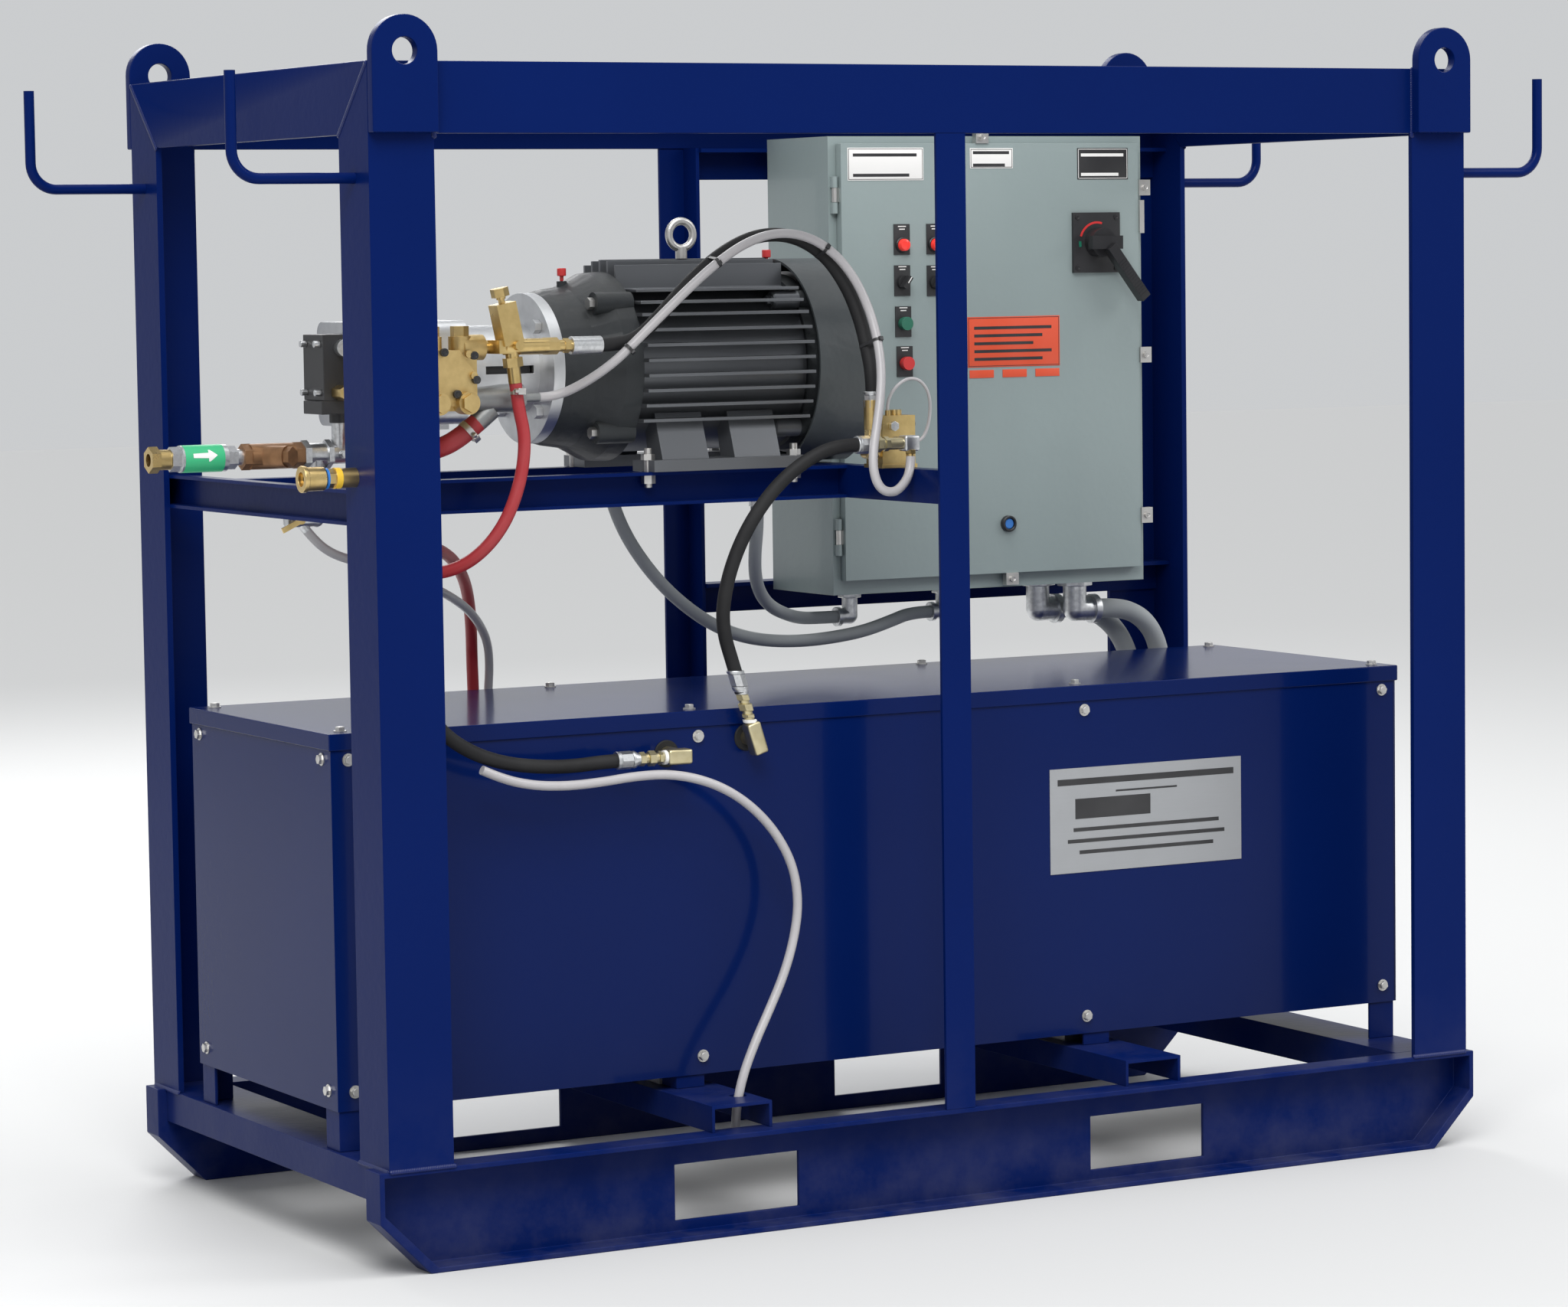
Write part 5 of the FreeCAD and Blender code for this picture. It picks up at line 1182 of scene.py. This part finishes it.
@dataclass(frozen=True)
class HoseEnd:
    """A crimped hose end with its adapter and the elbow that turns into the front panel."""

    name: str
    end: Point
    lead: Point
    tail: float
    panel: float = -0.263
    grip: float = 0.034
    reach: float = 0.076

    def foot(self) -> Vector:
        """The middle of the elbow."""
        return Vector(self.end) + Vector(self.lead).normalized() * self.reach

    def build(self) -> None:
        """Makes the ferrule, the two hexagons, the sealing ring and the forged elbow."""
        w = Vector(self.lead).normalized()
        end, foot = Vector(self.end), self.foot()
        ferrule = crimp_shape(end - w * self.grip, w, self.grip + 0.004)
        dress(ferrule.piece(f"{self.name}_crimp"), ZINC, "frame", ["hose_fittings"])
        gold = Shape()
        for along, flats, height in ((0.004, 0.0185, 0.010), (0.019, 0.0205, 0.012),
                                     (0.036, 0.0180, 0.006)):
            gold.hex(tuple(end + w * along), tuple(w), flats, height)
        gold.lathe(tuple(end), tuple(w), [(0, 0.0078), (self.reach - 0.020, 0.0078)], 24)
        inward = Vector((0, 1, 0))
        turn = Matrix.Translation(foot) @ Matrix((w, inward, w.cross(inward))).transposed().to_4x4()
        gold.block((-0.0260, -0.0122, -0.0115), (self.tail, 0.0122, 0.0115), 0.0040, turn)
        gold.lathe(tuple(foot), (0, 1, 0), [(0.010, 0.0110), (self.panel - foot.y, 0.0110)], 28)
        dress(gold.piece(f"{self.name}_elbow"), GOLD, "frame", ["hose_fittings"])
        ring = Shape().lathe(tuple(foot - w * 0.0310), tuple(w),
                             [(0, 0.0085), (0, 0.0108), (0.0050, 0.0108),
                              (0.0050, 0.0085)], 28)
        dress(ring.piece(f"{self.name}_sealing_ring"), LABEL_WHITE, "frame")


HOSE_ENDS = (
    HoseEnd("heater_in_end", (-0.285, -0.292, 0.792), (12.0, 0.0, -38.0), 0.024),
    HoseEnd("heater_out_end", (-0.475, -0.312, 0.703), (1.0, 0.0, 0.0), 0.0140),
)


@dataclass
class Outlet:
    """The quick coupler, the relief block and the hose ends."""

    def build(self) -> None:
        """Dresses the fittings."""
        eased("outlet_coupler", 0.0008, BRASS)
        eased("coupler_sleeve", 0.0010, BRASS, "coupler_sleeve")
        for name, start, size, finish, slot, body in (
                ("coupler_blue_ring", -0.9980, 0.0035, BLUE_CAP, "blue_plastic", "coupler_sleeve"),
                ("coupler_yellow_ring", -0.9835, 0.0090, YELLOW, "brass", "frame")):
            ring = Shape().lathe((start, -0.380, 1.140), (1, 0, 0),
                                 [(0.0, 0.0095), (0.0, 0.0150), (size, 0.0150),
                                  (size, 0.0095)], 32)
            dress(ring.piece(name), finish, body)
        screw = (Region((-0.028, -0.310, 1.170), (-0.012, -0.299, 1.200)),)
        plug = (Region((0.019, -0.300, 1.170), (0.030, -0.260, 1.200)),)
        eased("relief_block", 0.0010, BRASS, leave=screw + plug)
        eased("relief_block", 0.0010, ZINC, regions=screw, label="screw")
        eased("relief_block", 0.0010, BLACK, regions=plug, label="plug")
        eased("hose_fittings", 0.0007, ZINC, regions=(Region((-0.5, 0.0, 0.5), (-0.3, 0.4, 0.8)),),
              label="feed_tails")
        for end in HOSE_ENDS:
            end.build()
        self.relief_tail()

    def relief_tail(self) -> None:
        """The hose end and cross-over elbow on the relief block, with the barb for the clear hose."""
        start = Vector((-0.108, -0.340, 1.159))
        along = Vector((1, 0, 0))
        dress(crimp_shape(start, along, 0.034).piece("relief_crimp"), ZINC, "frame",
              ["hose_fittings"])
        riser = crimp_shape(Vector((-0.059, -0.307, 1.238)), Vector((0, 0, -1)), 0.038)
        dress(riser.piece("riser_crimp"), ZINC, "frame")
        nuts = Shape().hex(tuple(start + along * 0.034), along, 0.0215, 0.010)
        nuts.lathe(tuple(start + along * 0.044), along, [(0, 0.0088), (0.004, 0.0088)], 24)
        nuts.hex(tuple(start + along * 0.048), along, 0.0195, 0.009)
        nuts.lathe(tuple(start + along * 0.057), along, [(0, 0.0090), (0.024, 0.0090)], 24)
        dress(nuts.piece("relief_nuts"), GOLD, "frame", ["hose_fittings"])
        corner = start + along * 0.093
        elbow = Shape().block(tuple(corner - Vector((0.013, 0.012, 0.012))),
                              tuple(corner + Vector((0.013, 0.012, 0.012))),
                              0.0035)
        elbow.lathe(tuple(corner), (0, 1, 0),
                    [(0.010, 0.0105), (0.018, 0.0105), (0.018, 0.0090), (0.040, 0.0090)], 28)
        dress(elbow.piece("relief_elbow"), ZINC, "frame", ["hose_fittings"])
        barb = Shape().hex((-0.016, -0.346, 1.1495), (0, 0, -1), 0.0150, 0.0065)
        barb.lathe((-0.016, -0.346, 1.1435), (0, 0, -1), [(0, 0.0068), (0.0045, 0.0068)], 24)
        dress(barb.piece("relief_barb"), BRASS, "frame", ["hose_fittings"])


class Label(Enum):
    """The blank labels on the door: finish and edges as x0, x1, z0, z1."""

    MAKER = (LABEL_WHITE, 0.175, 0.318, 1.565, 1.618)
    ORIGIN = (LABEL_WHITE, 0.407, 0.490, 1.584, 1.617)
    SERVICE = (LABEL_BLACK, 0.616, 0.716, 1.565, 1.617)
    CAUTION = (LABEL_ORANGE, 0.399, 0.578, 1.257, 1.340)


@dataclass
class Enclosure:
    """The electrical enclosure, its door and everything on the door."""

    face: float = 0.168
    columns: tuple[float, float] = (0.275, 0.337)
    pilot_z: float = 1.460
    switch: tuple[float, float] = (0.650, 1.460)
    reset: tuple[float, float] = (0.473, 0.997)
    bottom: float = 0.891
    side_clamp_x: float = 0.748
    side_clamp_rises: tuple[float, ...] = (0.110, 0.380, 0.660)
    end_clamps: tuple[tuple[float, float], ...] = ((0.430, 0.744), (0.480, 0.014))

    def build(self) -> None:
        """Dresses the enclosure and fits the door's controls."""
        eased("enclosure_box", 0.0018, ENAMEL)
        eased("enclosure_door", 0.0020, ENAMEL, "door")
        eased("conduit_elbows", 0.0012, ZINC)
        coat("enclosure_internals", ZINC)
        self.hardware()
        self.labels()
        self.pilots()
        self.operators()
        self.disconnect()

    def hardware(self) -> None:
        """Steel clamps and knuckles, and the black legend plates."""
        inner = Region((0.170, 0.0, 0.93), (0.730, 0.3, 1.622))
        eased("door_fittings", 0.0012, STAINLESS, "door", leave=(inner,), label="clamps")
        eased("door_fittings", 0.0006, BLACK, "door", regions=(inner,), leave=(
            Region((0.0, 0.0, 1.564), (0.730, 0.3, 1.622)), Region((0.40, 0.0, 1.25), (0.58, 0.3, 1.35)),
            Region((0.2, 0.0, 1.4585), (0.4, 0.163, 1.4615))), label="plates")
        clamps = tuple((self.side_clamp_x, rise) for rise in self.side_clamp_rises) + self.end_clamps
        places = [((x, self.face - 0.003, self.bottom + rise), (0, -1, 0)) for x, rise in clamps]
        SCREWS.spread("clamp_screws", places, STAINLESS, "door", "steel", Radius=0.0055, Height=0.004)

    def labels(self) -> None:
        """Blank labels with a thin border and a few plain bands."""
        for label in Label:
            finish, x0, x1, z0, z1 = label.value
            name = label.name.lower()
            plate = Shape().block((x0, self.face - 0.0008, z0), (x1, self.face, z1), 0.0003)
            dress(plate.piece(f"label_{name}"), finish, "door")
            ink = LABEL_WHITE if label is Label.SERVICE else LABEL_BLACK
            y = self.face - 0.0008
            marks = Shape()
            w, h = x1 - x0, z1 - z0
            t = 0.0009
            for a, b, c, d in ((0, 1, 0, 0), (0, 1, 1, 1), (0, 0, 0, 1), (1, 1, 0, 1)):
                lo = (x0 + 0.0015 + a * (w - 0.003 - t), y - 0.0002, z0 + 0.0015 + c * (h - 0.003 - t))
                hi = (x0 + 0.0015 + t + b * (w - 0.003 - t), y + 0.0001,
                      z0 + 0.0015 + t + d * (h - 0.003 - t))
                marks.block(lo, hi)
            rows = 5 if label is Label.CAUTION else 2
            for row in range(rows):
                z = z1 - h * (0.22 + row * 0.62 / max(1, rows - 1))
                size = min(0.0050, h / (rows * 2.6))
                wide = w * (0.84 - 0.10 * ((row * 7) % 3))
                marks.block((x0 + w * 0.07, y - 0.0002, z - size / 2),
                            (x0 + w * 0.07 + wide, y + 0.0001, z + size / 2))
            dress(marks.piece(f"label_{name}_bands"), ink, "door")
        tabs = Shape()
        for k in range(3):
            x = 0.402 + 0.064 * k
            tabs.block((x, self.face - 0.0008, 1.2395), (x + 0.047, self.face, 1.2525), 0.0002)
        dress(tabs.piece("label_small_tabs"), LABEL_ORANGE, "door")

    def pilots(self) -> None:
        """Two red pilot lights with black bezels and domed lenses."""
        bezels, lenses = Shape(), Shape()
        for x in self.columns:
            at = (x, self.face - 0.002, self.pilot_z)
            bezels.lathe(at, (0, -1, 0), [(0.0, 0.0), (0.0, 0.0125), (0.003, 0.0125), (0.0042, 0.0112),
                                          (0.0042, 0.0)], 36)
            lenses.lathe((x, self.face - 0.0062, self.pilot_z), (0, -1, 0),
                         [(0.0, 0.0), (0.0, 0.0100), (0.006, 0.0098), (0.0085, 0.0085), (0.0098, 0.0055),
                          (0.0100, 0.0)], 36)
        dress(bezels.piece("pilot_bezels"), GLOSS_BLACK, "door")
        dress(lenses.piece("pilot_lenses"), RED_LENS, "door")

    def operators(self) -> None:
        """Selectors, push buttons and their marks."""
        for node, x in zip(("selector_left", "selector_right"), self.columns):
            eased(node, 0.0012, GLOSS_BLACK, node)
            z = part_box(node)[0][2] + (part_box(node)[1][2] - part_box(node)[0][2]) / 2
            pivot = Matrix.Translation((x, 0.0, z))
            turn = pivot @ Matrix.Rotation(math.radians(35.0), 4, "Y") @ pivot.inverted()
            stripe = Shape().block((x - 0.0008, self.face - 0.0226, z - 0.001),
                                   (x + 0.0008, self.face - 0.0215,
                                    z + 0.0105), 0.0, turn)
            dress(stripe.piece(f"{node}_stripe"), LABEL_WHITE, node)
        for node, finish, slot in (("start_button", GREEN, "green_plastic"),
                                   ("stop_button", RED, "red_plastic")):
            eased(node, 0.0014, finish, node, segments=3)
        marks = Shape()
        for x, z in ((0.275, 1.4875), (0.337, 1.4875), (0.275, 1.422), (0.337, 1.421), (0.276, 1.355),
                     (0.278, 1.290)):
            for row in range(2):
                top = z + 0.0035 - 0.0045 * row
                half = 0.0075 - 0.002 * row
                marks.block((x - half, self.face - 0.0022, top - 0.0016),
                            (x + half, self.face - 0.0018, top))
        dress(marks.piece("legend_marks"), LABEL_WHITE, "door")
        x, z = self.reset
        cap = Shape().lathe((x, self.face, z), (0, -1, 0),
                            [(0.0, 0.0), (0.0, 0.0085), (0.0052, 0.0085), (0.0062, 0.0074),
                             (0.0065, 0.0)], 36)
        dress(cap.piece("reset_button_cap"), BLUE_CAP, "reset_button", ["reset_button"])
        rim = Shape().lathe((x, self.face, z), (0, -1, 0),
                            [(0.0, 0.0090), (0.0, 0.0135), (0.0072, 0.0135), (0.0086, 0.0122),
                             (0.0086, 0.0102),
                             (0.0072, 0.0090), (0.0, 0.0090)], 40)
        dress(rim.piece("reset_rim"), GLOSS_BLACK, "door")

    def disconnect(self) -> None:
        """The rotary disconnect: red arc and green mark on the plate, ribs on the grip."""
        x, z = self.switch
        front = self.face - 0.006
        eased("disconnect_handle", 0.0022, GLOSS_BLACK, "disconnect_handle", segments=3)
        arc = Shape().ring_part((x, front + 0.0001, z), (0, -1, 0), 0.0316, 0.0352, 0.0006, -0.30, 1.55)
        dress(arc.piece("switch_red_arc"), RED, "door")
        mark = Shape().ring_part((x, front + 0.0001, z), (0, -1, 0), 0.0310, 0.0358, 0.0006, 1.50, 0.28, 6)
        dress(mark.piece("switch_green_mark"), GREEN, "door")
        corners = [((x + sx * 0.038, front, z + sz * 0.042),
                    (0, -1, 0)) for sx in (-1, 1) for sz in (-1, 1)]
        SCREWS.spread("switch_screws", corners, BLACK, "door", "black_plastic", Radius=0.0042,
                      Height=0.0015)
        lean = math.radians(-38.0)
        down = Vector((math.sin(lean), 0.0, math.cos(lean))) * -1.0
        places = []
        for k in range(14):
            at = Vector((x, front - 0.0398, z)) + down * (0.040 + 0.0053 * k)
            places.append((tuple(at), (0, -1, 0)))
        RIBS.spread("grip_ribs", places, GLOSS_BLACK, "disconnect_handle", "black_plastic", Long=0.0150,
                    Thick=0.0022, Lean=-lean)


@dataclass(frozen=True)
class WormClamp:
    """A worm-drive hose clamp."""

    at: Point
    axis: Point
    radius: float
    side: Point = (0.0, -1.0, 0.0)

    def build(self, number: int) -> None:
        """Makes the band, the housing and the screw.

        Args:
            number: Used in the piece's name.
        """
        w = Vector(self.axis).normalized()
        r = self.radius
        start = Vector(self.at) - w * 0.0045
        shape = Shape().lathe(tuple(start), tuple(w), [(0.0, r), (0.0, r + 0.0009), (0.009, r + 0.0009),
                                                       (0.009, r)], 40)
        side = (Vector(self.side) - w * w.dot(Vector(self.side))).normalized()
        across = w.cross(side)
        centre = Vector(self.at) + side * (r + 0.0040)
        frame_turn = Matrix((across, side, w)).transposed().to_4x4()
        shape.block((-0.0065, -0.0032, -0.0050), (0.0065, 0.0032, 0.0050), 0.0012,
                    Matrix.Translation(centre) @ frame_turn)
        shape.hex(tuple(centre + across * 0.0060), tuple(across), 0.0068, 0.0055)
        dress(shape.piece(f"hose_clamp_{number}"), STAINLESS, "frame")


@dataclass(frozen=True)
class CableTie:
    """A tie drawn round two hoses that lie side by side, or round one."""

    one: Point
    two: Point
    along: Point
    r_one: float
    r_two: float

    def build(self, number: int) -> None:
        """Makes the strap and its small head.

        Args:
            number: Used in the piece's name.
        """
        w = Vector(self.along).normalized()
        a, b = Vector(self.one), Vector(self.two)
        b = b - w * w.dot(b - a)
        u = (b - a).normalized() if (b - a).length > 1e-6 else w.orthogonal().normalized()
        v = w.cross(u)
        rim = []
        for centre, radius, start in ((a, self.r_one, math.pi / 2), (b, self.r_two, -math.pi / 2)):
            for k in range(13):
                t = start + math.pi * k / 12
                rim.append(centre + (u * math.cos(t) + v * math.sin(t)) * (radius + 0.0003))
        shape = Shape().band(rim, w, 0.0046, 0.0012)
        head = a - u * (self.r_one + 0.002)
        turn = Matrix((u, v, w)).transposed().to_4x4()
        shape.block((-0.0022, -0.0035, -0.0032), (0.0022, 0.0035, 0.0032), 0.0006,
                    Matrix.Translation(head) @ turn)
        dress(shape.piece(f"cable_tie_{number}"), BLACK, "frame")


class Lay(Enum):
    """How a hose lies."""

    HANGING = "hanging"


@dataclass(frozen=True)
class Hose:
    """One hose, tube or conduit on a smooth line."""

    node: str
    radius: float
    length: float
    finish: Finish
    slot: str
    points: tuple[Point, ...]
    far_end: str = "object"
    stiffness: str = "medium"
    lay: Lay = Lay.HANGING

    def build(self) -> bpy.types.Object:
        """Returns:
            The curve object.
        """
        curve = bpy.data.curves.new(self.node + "_line", "CURVE")
        curve.dimensions = "3D"
        spline = curve.splines.new("NURBS")
        spline.points.add(len(self.points) - 1)
        for target, point in zip(spline.points, self.points):
            target.co = (*(v / 1000.0 for v in point), 1.0)
        spline.order_u = 3
        spline.use_endpoint_u = True
        spline.resolution_u = 8
        curve.bevel_depth = self.radius
        curve.bevel_resolution = 6
        curve.use_fill_caps = True
        obj = bpy.data.objects.new(self.node + "_line", curve)
        bpy.context.scene.collection.objects.link(obj)
        dress(obj, self.finish, "frame", [self.node])
        if self.length < 12 * self.radius:
            return obj
        return obj


@dataclass
class Studio:
    """The floor, the lights, the world and the camera."""

    lens: float = 111.32
    at: Point = (-3.7565, -6.6795, 1.4417)
    azimuth: float = 0.50680
    elevation: float = -0.08140
    roll: float = -0.01400

    def build(self) -> None:
        """Sets the stage."""
        self.camera()
        self.floor()
        bpy.context.scene.view_settings.view_transform = "Standard"
        self.light("key", (-3.5, -5.5, 6.5), 4.0, 420.0)
        self.light("side", (5.5, -3.5, 4.5), 3.0, 130.0)
        self.light("back", (0.5, 6.0, 5.0), 4.0, 260.0)
        self.sun()
        world = bpy.data.worlds.new("soft_sky")
        bpy.context.scene.world = world
        world.use_nodes = True
        world.node_tree.nodes["Background"].inputs[0].default_value = (0.96, 0.98, 1.0, 1.0)
        world.node_tree.nodes["Background"].inputs[1].default_value = 0.62

    def camera(self) -> None:
        """A long lens at eye height, turned a little clockwise."""
        d = Vector((math.sin(self.azimuth) * math.cos(self.elevation),
                    math.cos(self.azimuth) * math.cos(self.elevation), math.sin(self.elevation)))
        right = Vector((math.cos(self.azimuth), -math.sin(self.azimuth), 0.0))
        up = right.cross(d)
        side = right * math.cos(self.roll) + up * math.sin(self.roll)
        top = up * math.cos(self.roll) - right * math.sin(self.roll)
        data = bpy.data.cameras.new("camera")
        data.sensor_width = 36.0
        data.sensor_fit = "HORIZONTAL"
        data.lens = self.lens
        data.clip_end = 60.0
        camera = bpy.data.objects.new("camera", data)
        turn = Matrix((side, top, -d)).transposed().to_4x4()
        camera.matrix_world = Matrix.Translation(self.at) @ turn
        bpy.context.scene.collection.objects.link(camera)
        bpy.context.scene.camera = camera

    def floor(self) -> None:
        """A large pale floor at ground level."""
        bm = bmesh.new()
        bmesh.ops.create_grid(bm, x_segments=1, y_segments=1, size=30.0)
        mesh = bpy.data.meshes.new("floor")
        bm.to_mesh(mesh)
        bm.free()
        obj = bpy.data.objects.new("floor", mesh)
        bpy.context.scene.collection.objects.link(obj)
        pale = bpy.data.materials.new("pale_floor")
        pale.use_nodes = True
        shader = pale.node_tree.nodes["Principled BSDF"]
        shader.inputs["Base Color"].default_value = (0.60, 0.60, 0.597, 1.0)
        shader.inputs["Roughness"].default_value = 0.75
        mesh.materials.append(pale)

    def sun(self) -> None:
        """A very soft overhead light that keeps the floor evenly pale."""
        data = bpy.data.lights.new("overhead", "SUN")
        data.energy = 1.3
        data.angle = math.radians(50.0)
        obj = bpy.data.objects.new("overhead", data)
        obj.matrix_world = Matrix.Rotation(math.radians(18.0), 4, "X")
        bpy.context.scene.collection.objects.link(obj)

    def light(self, name: str, at: Point, size: float, power: float) -> None:
        """A square soft light aimed at the middle of the machine.

        Args:
            name: The light's name.
            at: Where it stands.
            size: Width of the light.
            power: Watts.
        """
        data = bpy.data.lights.new(name, "AREA")
        data.size = size
        data.energy = power
        obj = bpy.data.objects.new(name, data)
        aim = (Vector((0.0, 0.0, 0.8)) - Vector(at)).to_track_quat("-Z", "Y")
        obj.matrix_world = Matrix.Translation(at) @ aim.to_matrix().to_4x4()
        bpy.context.scene.collection.objects.link(obj)


HOSES = (
    Hose("hose_pump_to_relief", 0.0105, 0.665, RUBBER, "black_rubber", (
        (-464, -196, 1316), (-430, -196, 1316), (-394, -197, 1329), (-357, -202, 1366), (-316, -208, 1409),
        (-268, -215, 1450), (-212, -224, 1477), (-155, -234, 1477), (-107, -246, 1449), (-77, -261, 1402),
        (-62, -277, 1349), (-58, -292, 1300), (-59, -307, 1262), (-59, -307, 1225))),
    Hose("hose_relief_to_heater", 0.0105, 0.484, RUBBER, "black_rubber", (
        (-108, -340, 1159), (-142, -340, 1159), (-188, -335, 1141), (-233, -327, 1107), (-270, -318, 1061),
        (-297, -309, 1009), (-314, -301, 952), (-319, -296, 892), (-296.4, -292, 828), (-285, -292, 792))),
    Hose("hose_heater_to_outlet", 0.0105, 0.719, RUBBER, "black_rubber", (
        (-884, -377.2, 1117), (-875, -373.2, 1083), (-868, -370, 1032), (-863, -369, 976),
        (-860, -368, 918), (-856, -366, 860), (-842, -361, 806), (-808, -353, 763), (-758, -342, 732),
        (-702, -329, 713), (-643, -319, 703), (-583, -312, 699), (-524, -312, 703), (-475, -312, 703))),
    Hose("hose_bypass_clear", 0.007, 1.051, CLEAR, "clear_hose", (
        (-546, -152, 1239), (-518, -152, 1239), (-484, -182, 1259), (-450, -213, 1289), (-411, -222, 1326),
        (-369, -226, 1364), (-329, -233, 1401), (-286, -240, 1437), (-240, -246, 1466), (-191, -253, 1481),
        (-141, -262, 1474), (-101, -273, 1447), (-73, -283, 1409), (-57, -296, 1364), (-53, -314, 1318),
        (-57, -332, 1272), (-67, -345, 1228), (-79, -354, 1188), (-91, -362, 1150), (-95, -369, 1117),
        (-84, -372, 1091), (-59, -370, 1086), (-36, -361, 1099), (-18, -348, 1117), (-16, -346, 1139))),
    Hose("hose_drain_open", 0.007, 1.027, CLEAR, "clear_hose", (
        (-744, -345, 707), (-710, -344, 691), (-657, -342, 678), (-602, -340, 674), (-547, -339, 676),
        (-491, -338, 681), (-436, -337, 681), (-381, -335, 670), (-330, -332, 649), (-284, -329, 617),
        (-247, -328, 577), (-220, -328, 528), (-212, -330, 473), (-222, -333, 419), (-243, -338, 366),
        (-271, -343, 317), (-302, -350, 268), (-328, -356, 218), (-343, -361, 166), (-345, -362, 122)),
        far_end="bare"),
    Hose("hose_bypass_red", 0.0095, 0.561, RED_HOSE, "red_rubber", (
        (-606, -196, 1262), (-602.4, -196, 1228), (-594, -200, 1186), (-597, -200, 1141),
        (-609, -199, 1097), (-627, -195, 1055), (-653, -186, 1019), (-685, -170, 992), (-722, -147, 980),
        (-756, -118, 989), (-781, -86, 1014), (-797, -56, 1049), (-800, -41, 1088), (-800, -41, 1120))),
    Hose("hose_suction_red", 0.015, 0.152, RED_HOSE, "red_rubber", (
        (-646, -146, 1204), (-676, -140, 1178), (-710, -119, 1162), (-737, -92, 1158), (-747, -62, 1158))),
    Hose("hose_feed_red", 0.0095, 0.765, RED_HOSE, "red_rubber", (
        (-770, -41, 1120), (-770, -41, 1086), (-750, -38, 1048), (-712, -24, 1026), (-672, 4, 1016),
        (-635, 39, 1008), (-600, 79, 998), (-566, 121, 984), (-534, 163, 964), (-505, 204, 938),
        (-481, 243, 905), (-463, 275, 864), (-453, 296, 815), (-449, 302, 765), (-449, 300, 713),
        (-449, 300, 660))),
    Hose("hose_strainer_drain", 0.007, 0.788, CLEAR, "clear_hose", (
        (-880, -41, 1048), (-866, -41, 1031), (-840, -38, 1012), (-802, -30, 999), (-761, -14, 990),
        (-721, 10, 978), (-682, 38, 966), (-644, 70, 954), (-606, 103, 942), (-568, 138, 928),
        (-531, 172, 912), (-496, 205, 893), (-464, 239, 869), (-437, 270, 839), (-423, 294, 799),
        (-423, 302, 754), (-424, 300, 707), (-424, 300, 660))),
    Hose("tube_relief_loop", 0.0025, 0.192, CLEAR, "clear_hose", (
        (-24, -292, 1208), (-24, -292, 1218), (-20, -296, 1234), (-8, -301, 1249), (9, -304, 1257),
        (27, -304, 1253), (40, -303, 1239), (47, -300, 1221), (49, -296, 1203), (48, -293, 1186),
        (43, -291, 1170), (34, -291, 1160), (28, -291, 1160))),
    Hose("conduit_motor", 0.0105, 0.895, CONDUIT, "conduit_grey", (
        (-262, 200, 1207), (-262, 200, 1168), (-258, 200, 1112), (-246, 201, 1056), (-222, 203, 1004),
        (-188, 206, 957), (-147, 211, 914), (-100, 219, 878), (-49, 227, 848), (8, 236, 827),
        (67, 243, 817), (127, 249, 814), (187, 252, 817), (246, 256, 824), (304, 268, 837),
        (350, 282, 848), (387.7, 282, 848))),
    Hose("conduit_control", 0.0105, 0.454, CONDUIT, "conduit_grey", (
        (-60, 60, 1050), (-60, 60, 1018), (-50, 88, 974), (-29, 127, 934), (3, 169, 901), (44, 208, 876),
        (91, 243, 860), (134, 270, 850), (172, 282, 848), (206.7, 282, 848))),
    Hose("conduit_heater_1", 0.0165, 0.267, CONDUIT, "conduit_grey", (
        (718, 282, 838), (762, 282, 838), (806, 285, 824), (840, 293, 795), (860, 301, 756),
        (868, 305, 712), (868, 305, 668))),
    Hose("conduit_heater_2", 0.0165, 0.265, CONDUIT, "conduit_grey", (
        (672, 327, 838), (716, 327, 838), (759, 328, 822), (794, 330, 792), (816, 331, 752),
        (824, 331, 708), (824, 331, 668))),
)


CLAMPS = (
    WormClamp((-0.6030, -0.196, 1.250), (-0.05, 0, -1), 0.0102),
    WormClamp((-0.6600, -0.1434, 1.1915), (-30, 6, -26), 0.0160, (0.6, -1.0, -0.4)),
    WormClamp((-0.7445, -0.0700, 1.1580), (12, -36, 0), 0.0160, (0.0, 0.0, -1.0)),
    WormClamp((-0.7700, -0.041, 1.1150), (0, 0, -1), 0.0100),
)
TIES = (
    CableTie((-0.428, -0.2195, 1.3100), (-0.428, -0.2195, 1.3100), (39, -9, 37), 0.0072, 0.0072),
    CableTie((-0.286, -0.2395, 1.4360), (-0.292, -0.2120, 1.4290), (46, -6, 30), 0.0072, 0.0107),
    CableTie((-0.115, -0.2690, 1.4560), (-0.120, -0.2430, 1.4560), (40, -11, -27), 0.0072, 0.0107),
    CableTie((-0.0535, -0.3140, 1.3150), (-0.0580, -0.2880, 1.3150), (0, -18, -46), 0.0072, 0.0107),
)


def main() -> None:
    """Builds every sub-assembly in order."""
    logging.basicConfig(level=logging.INFO, format="%(message)s")
    Studio().build()
    for hose in HOSES:
        hose.build()
    for number, clamp in enumerate(CLAMPS, 1):
        clamp.build(number)
    for number, tie in enumerate(TIES, 1):
        tie.build(number)
    for part in (Cage(), HeaterCover(), Motor(), Pump(), WaterInlet(), Outlet(), Enclosure()):
        part.build()
        log.info("%s done", type(part).__name__)


if __name__ == "__main__":
    main()
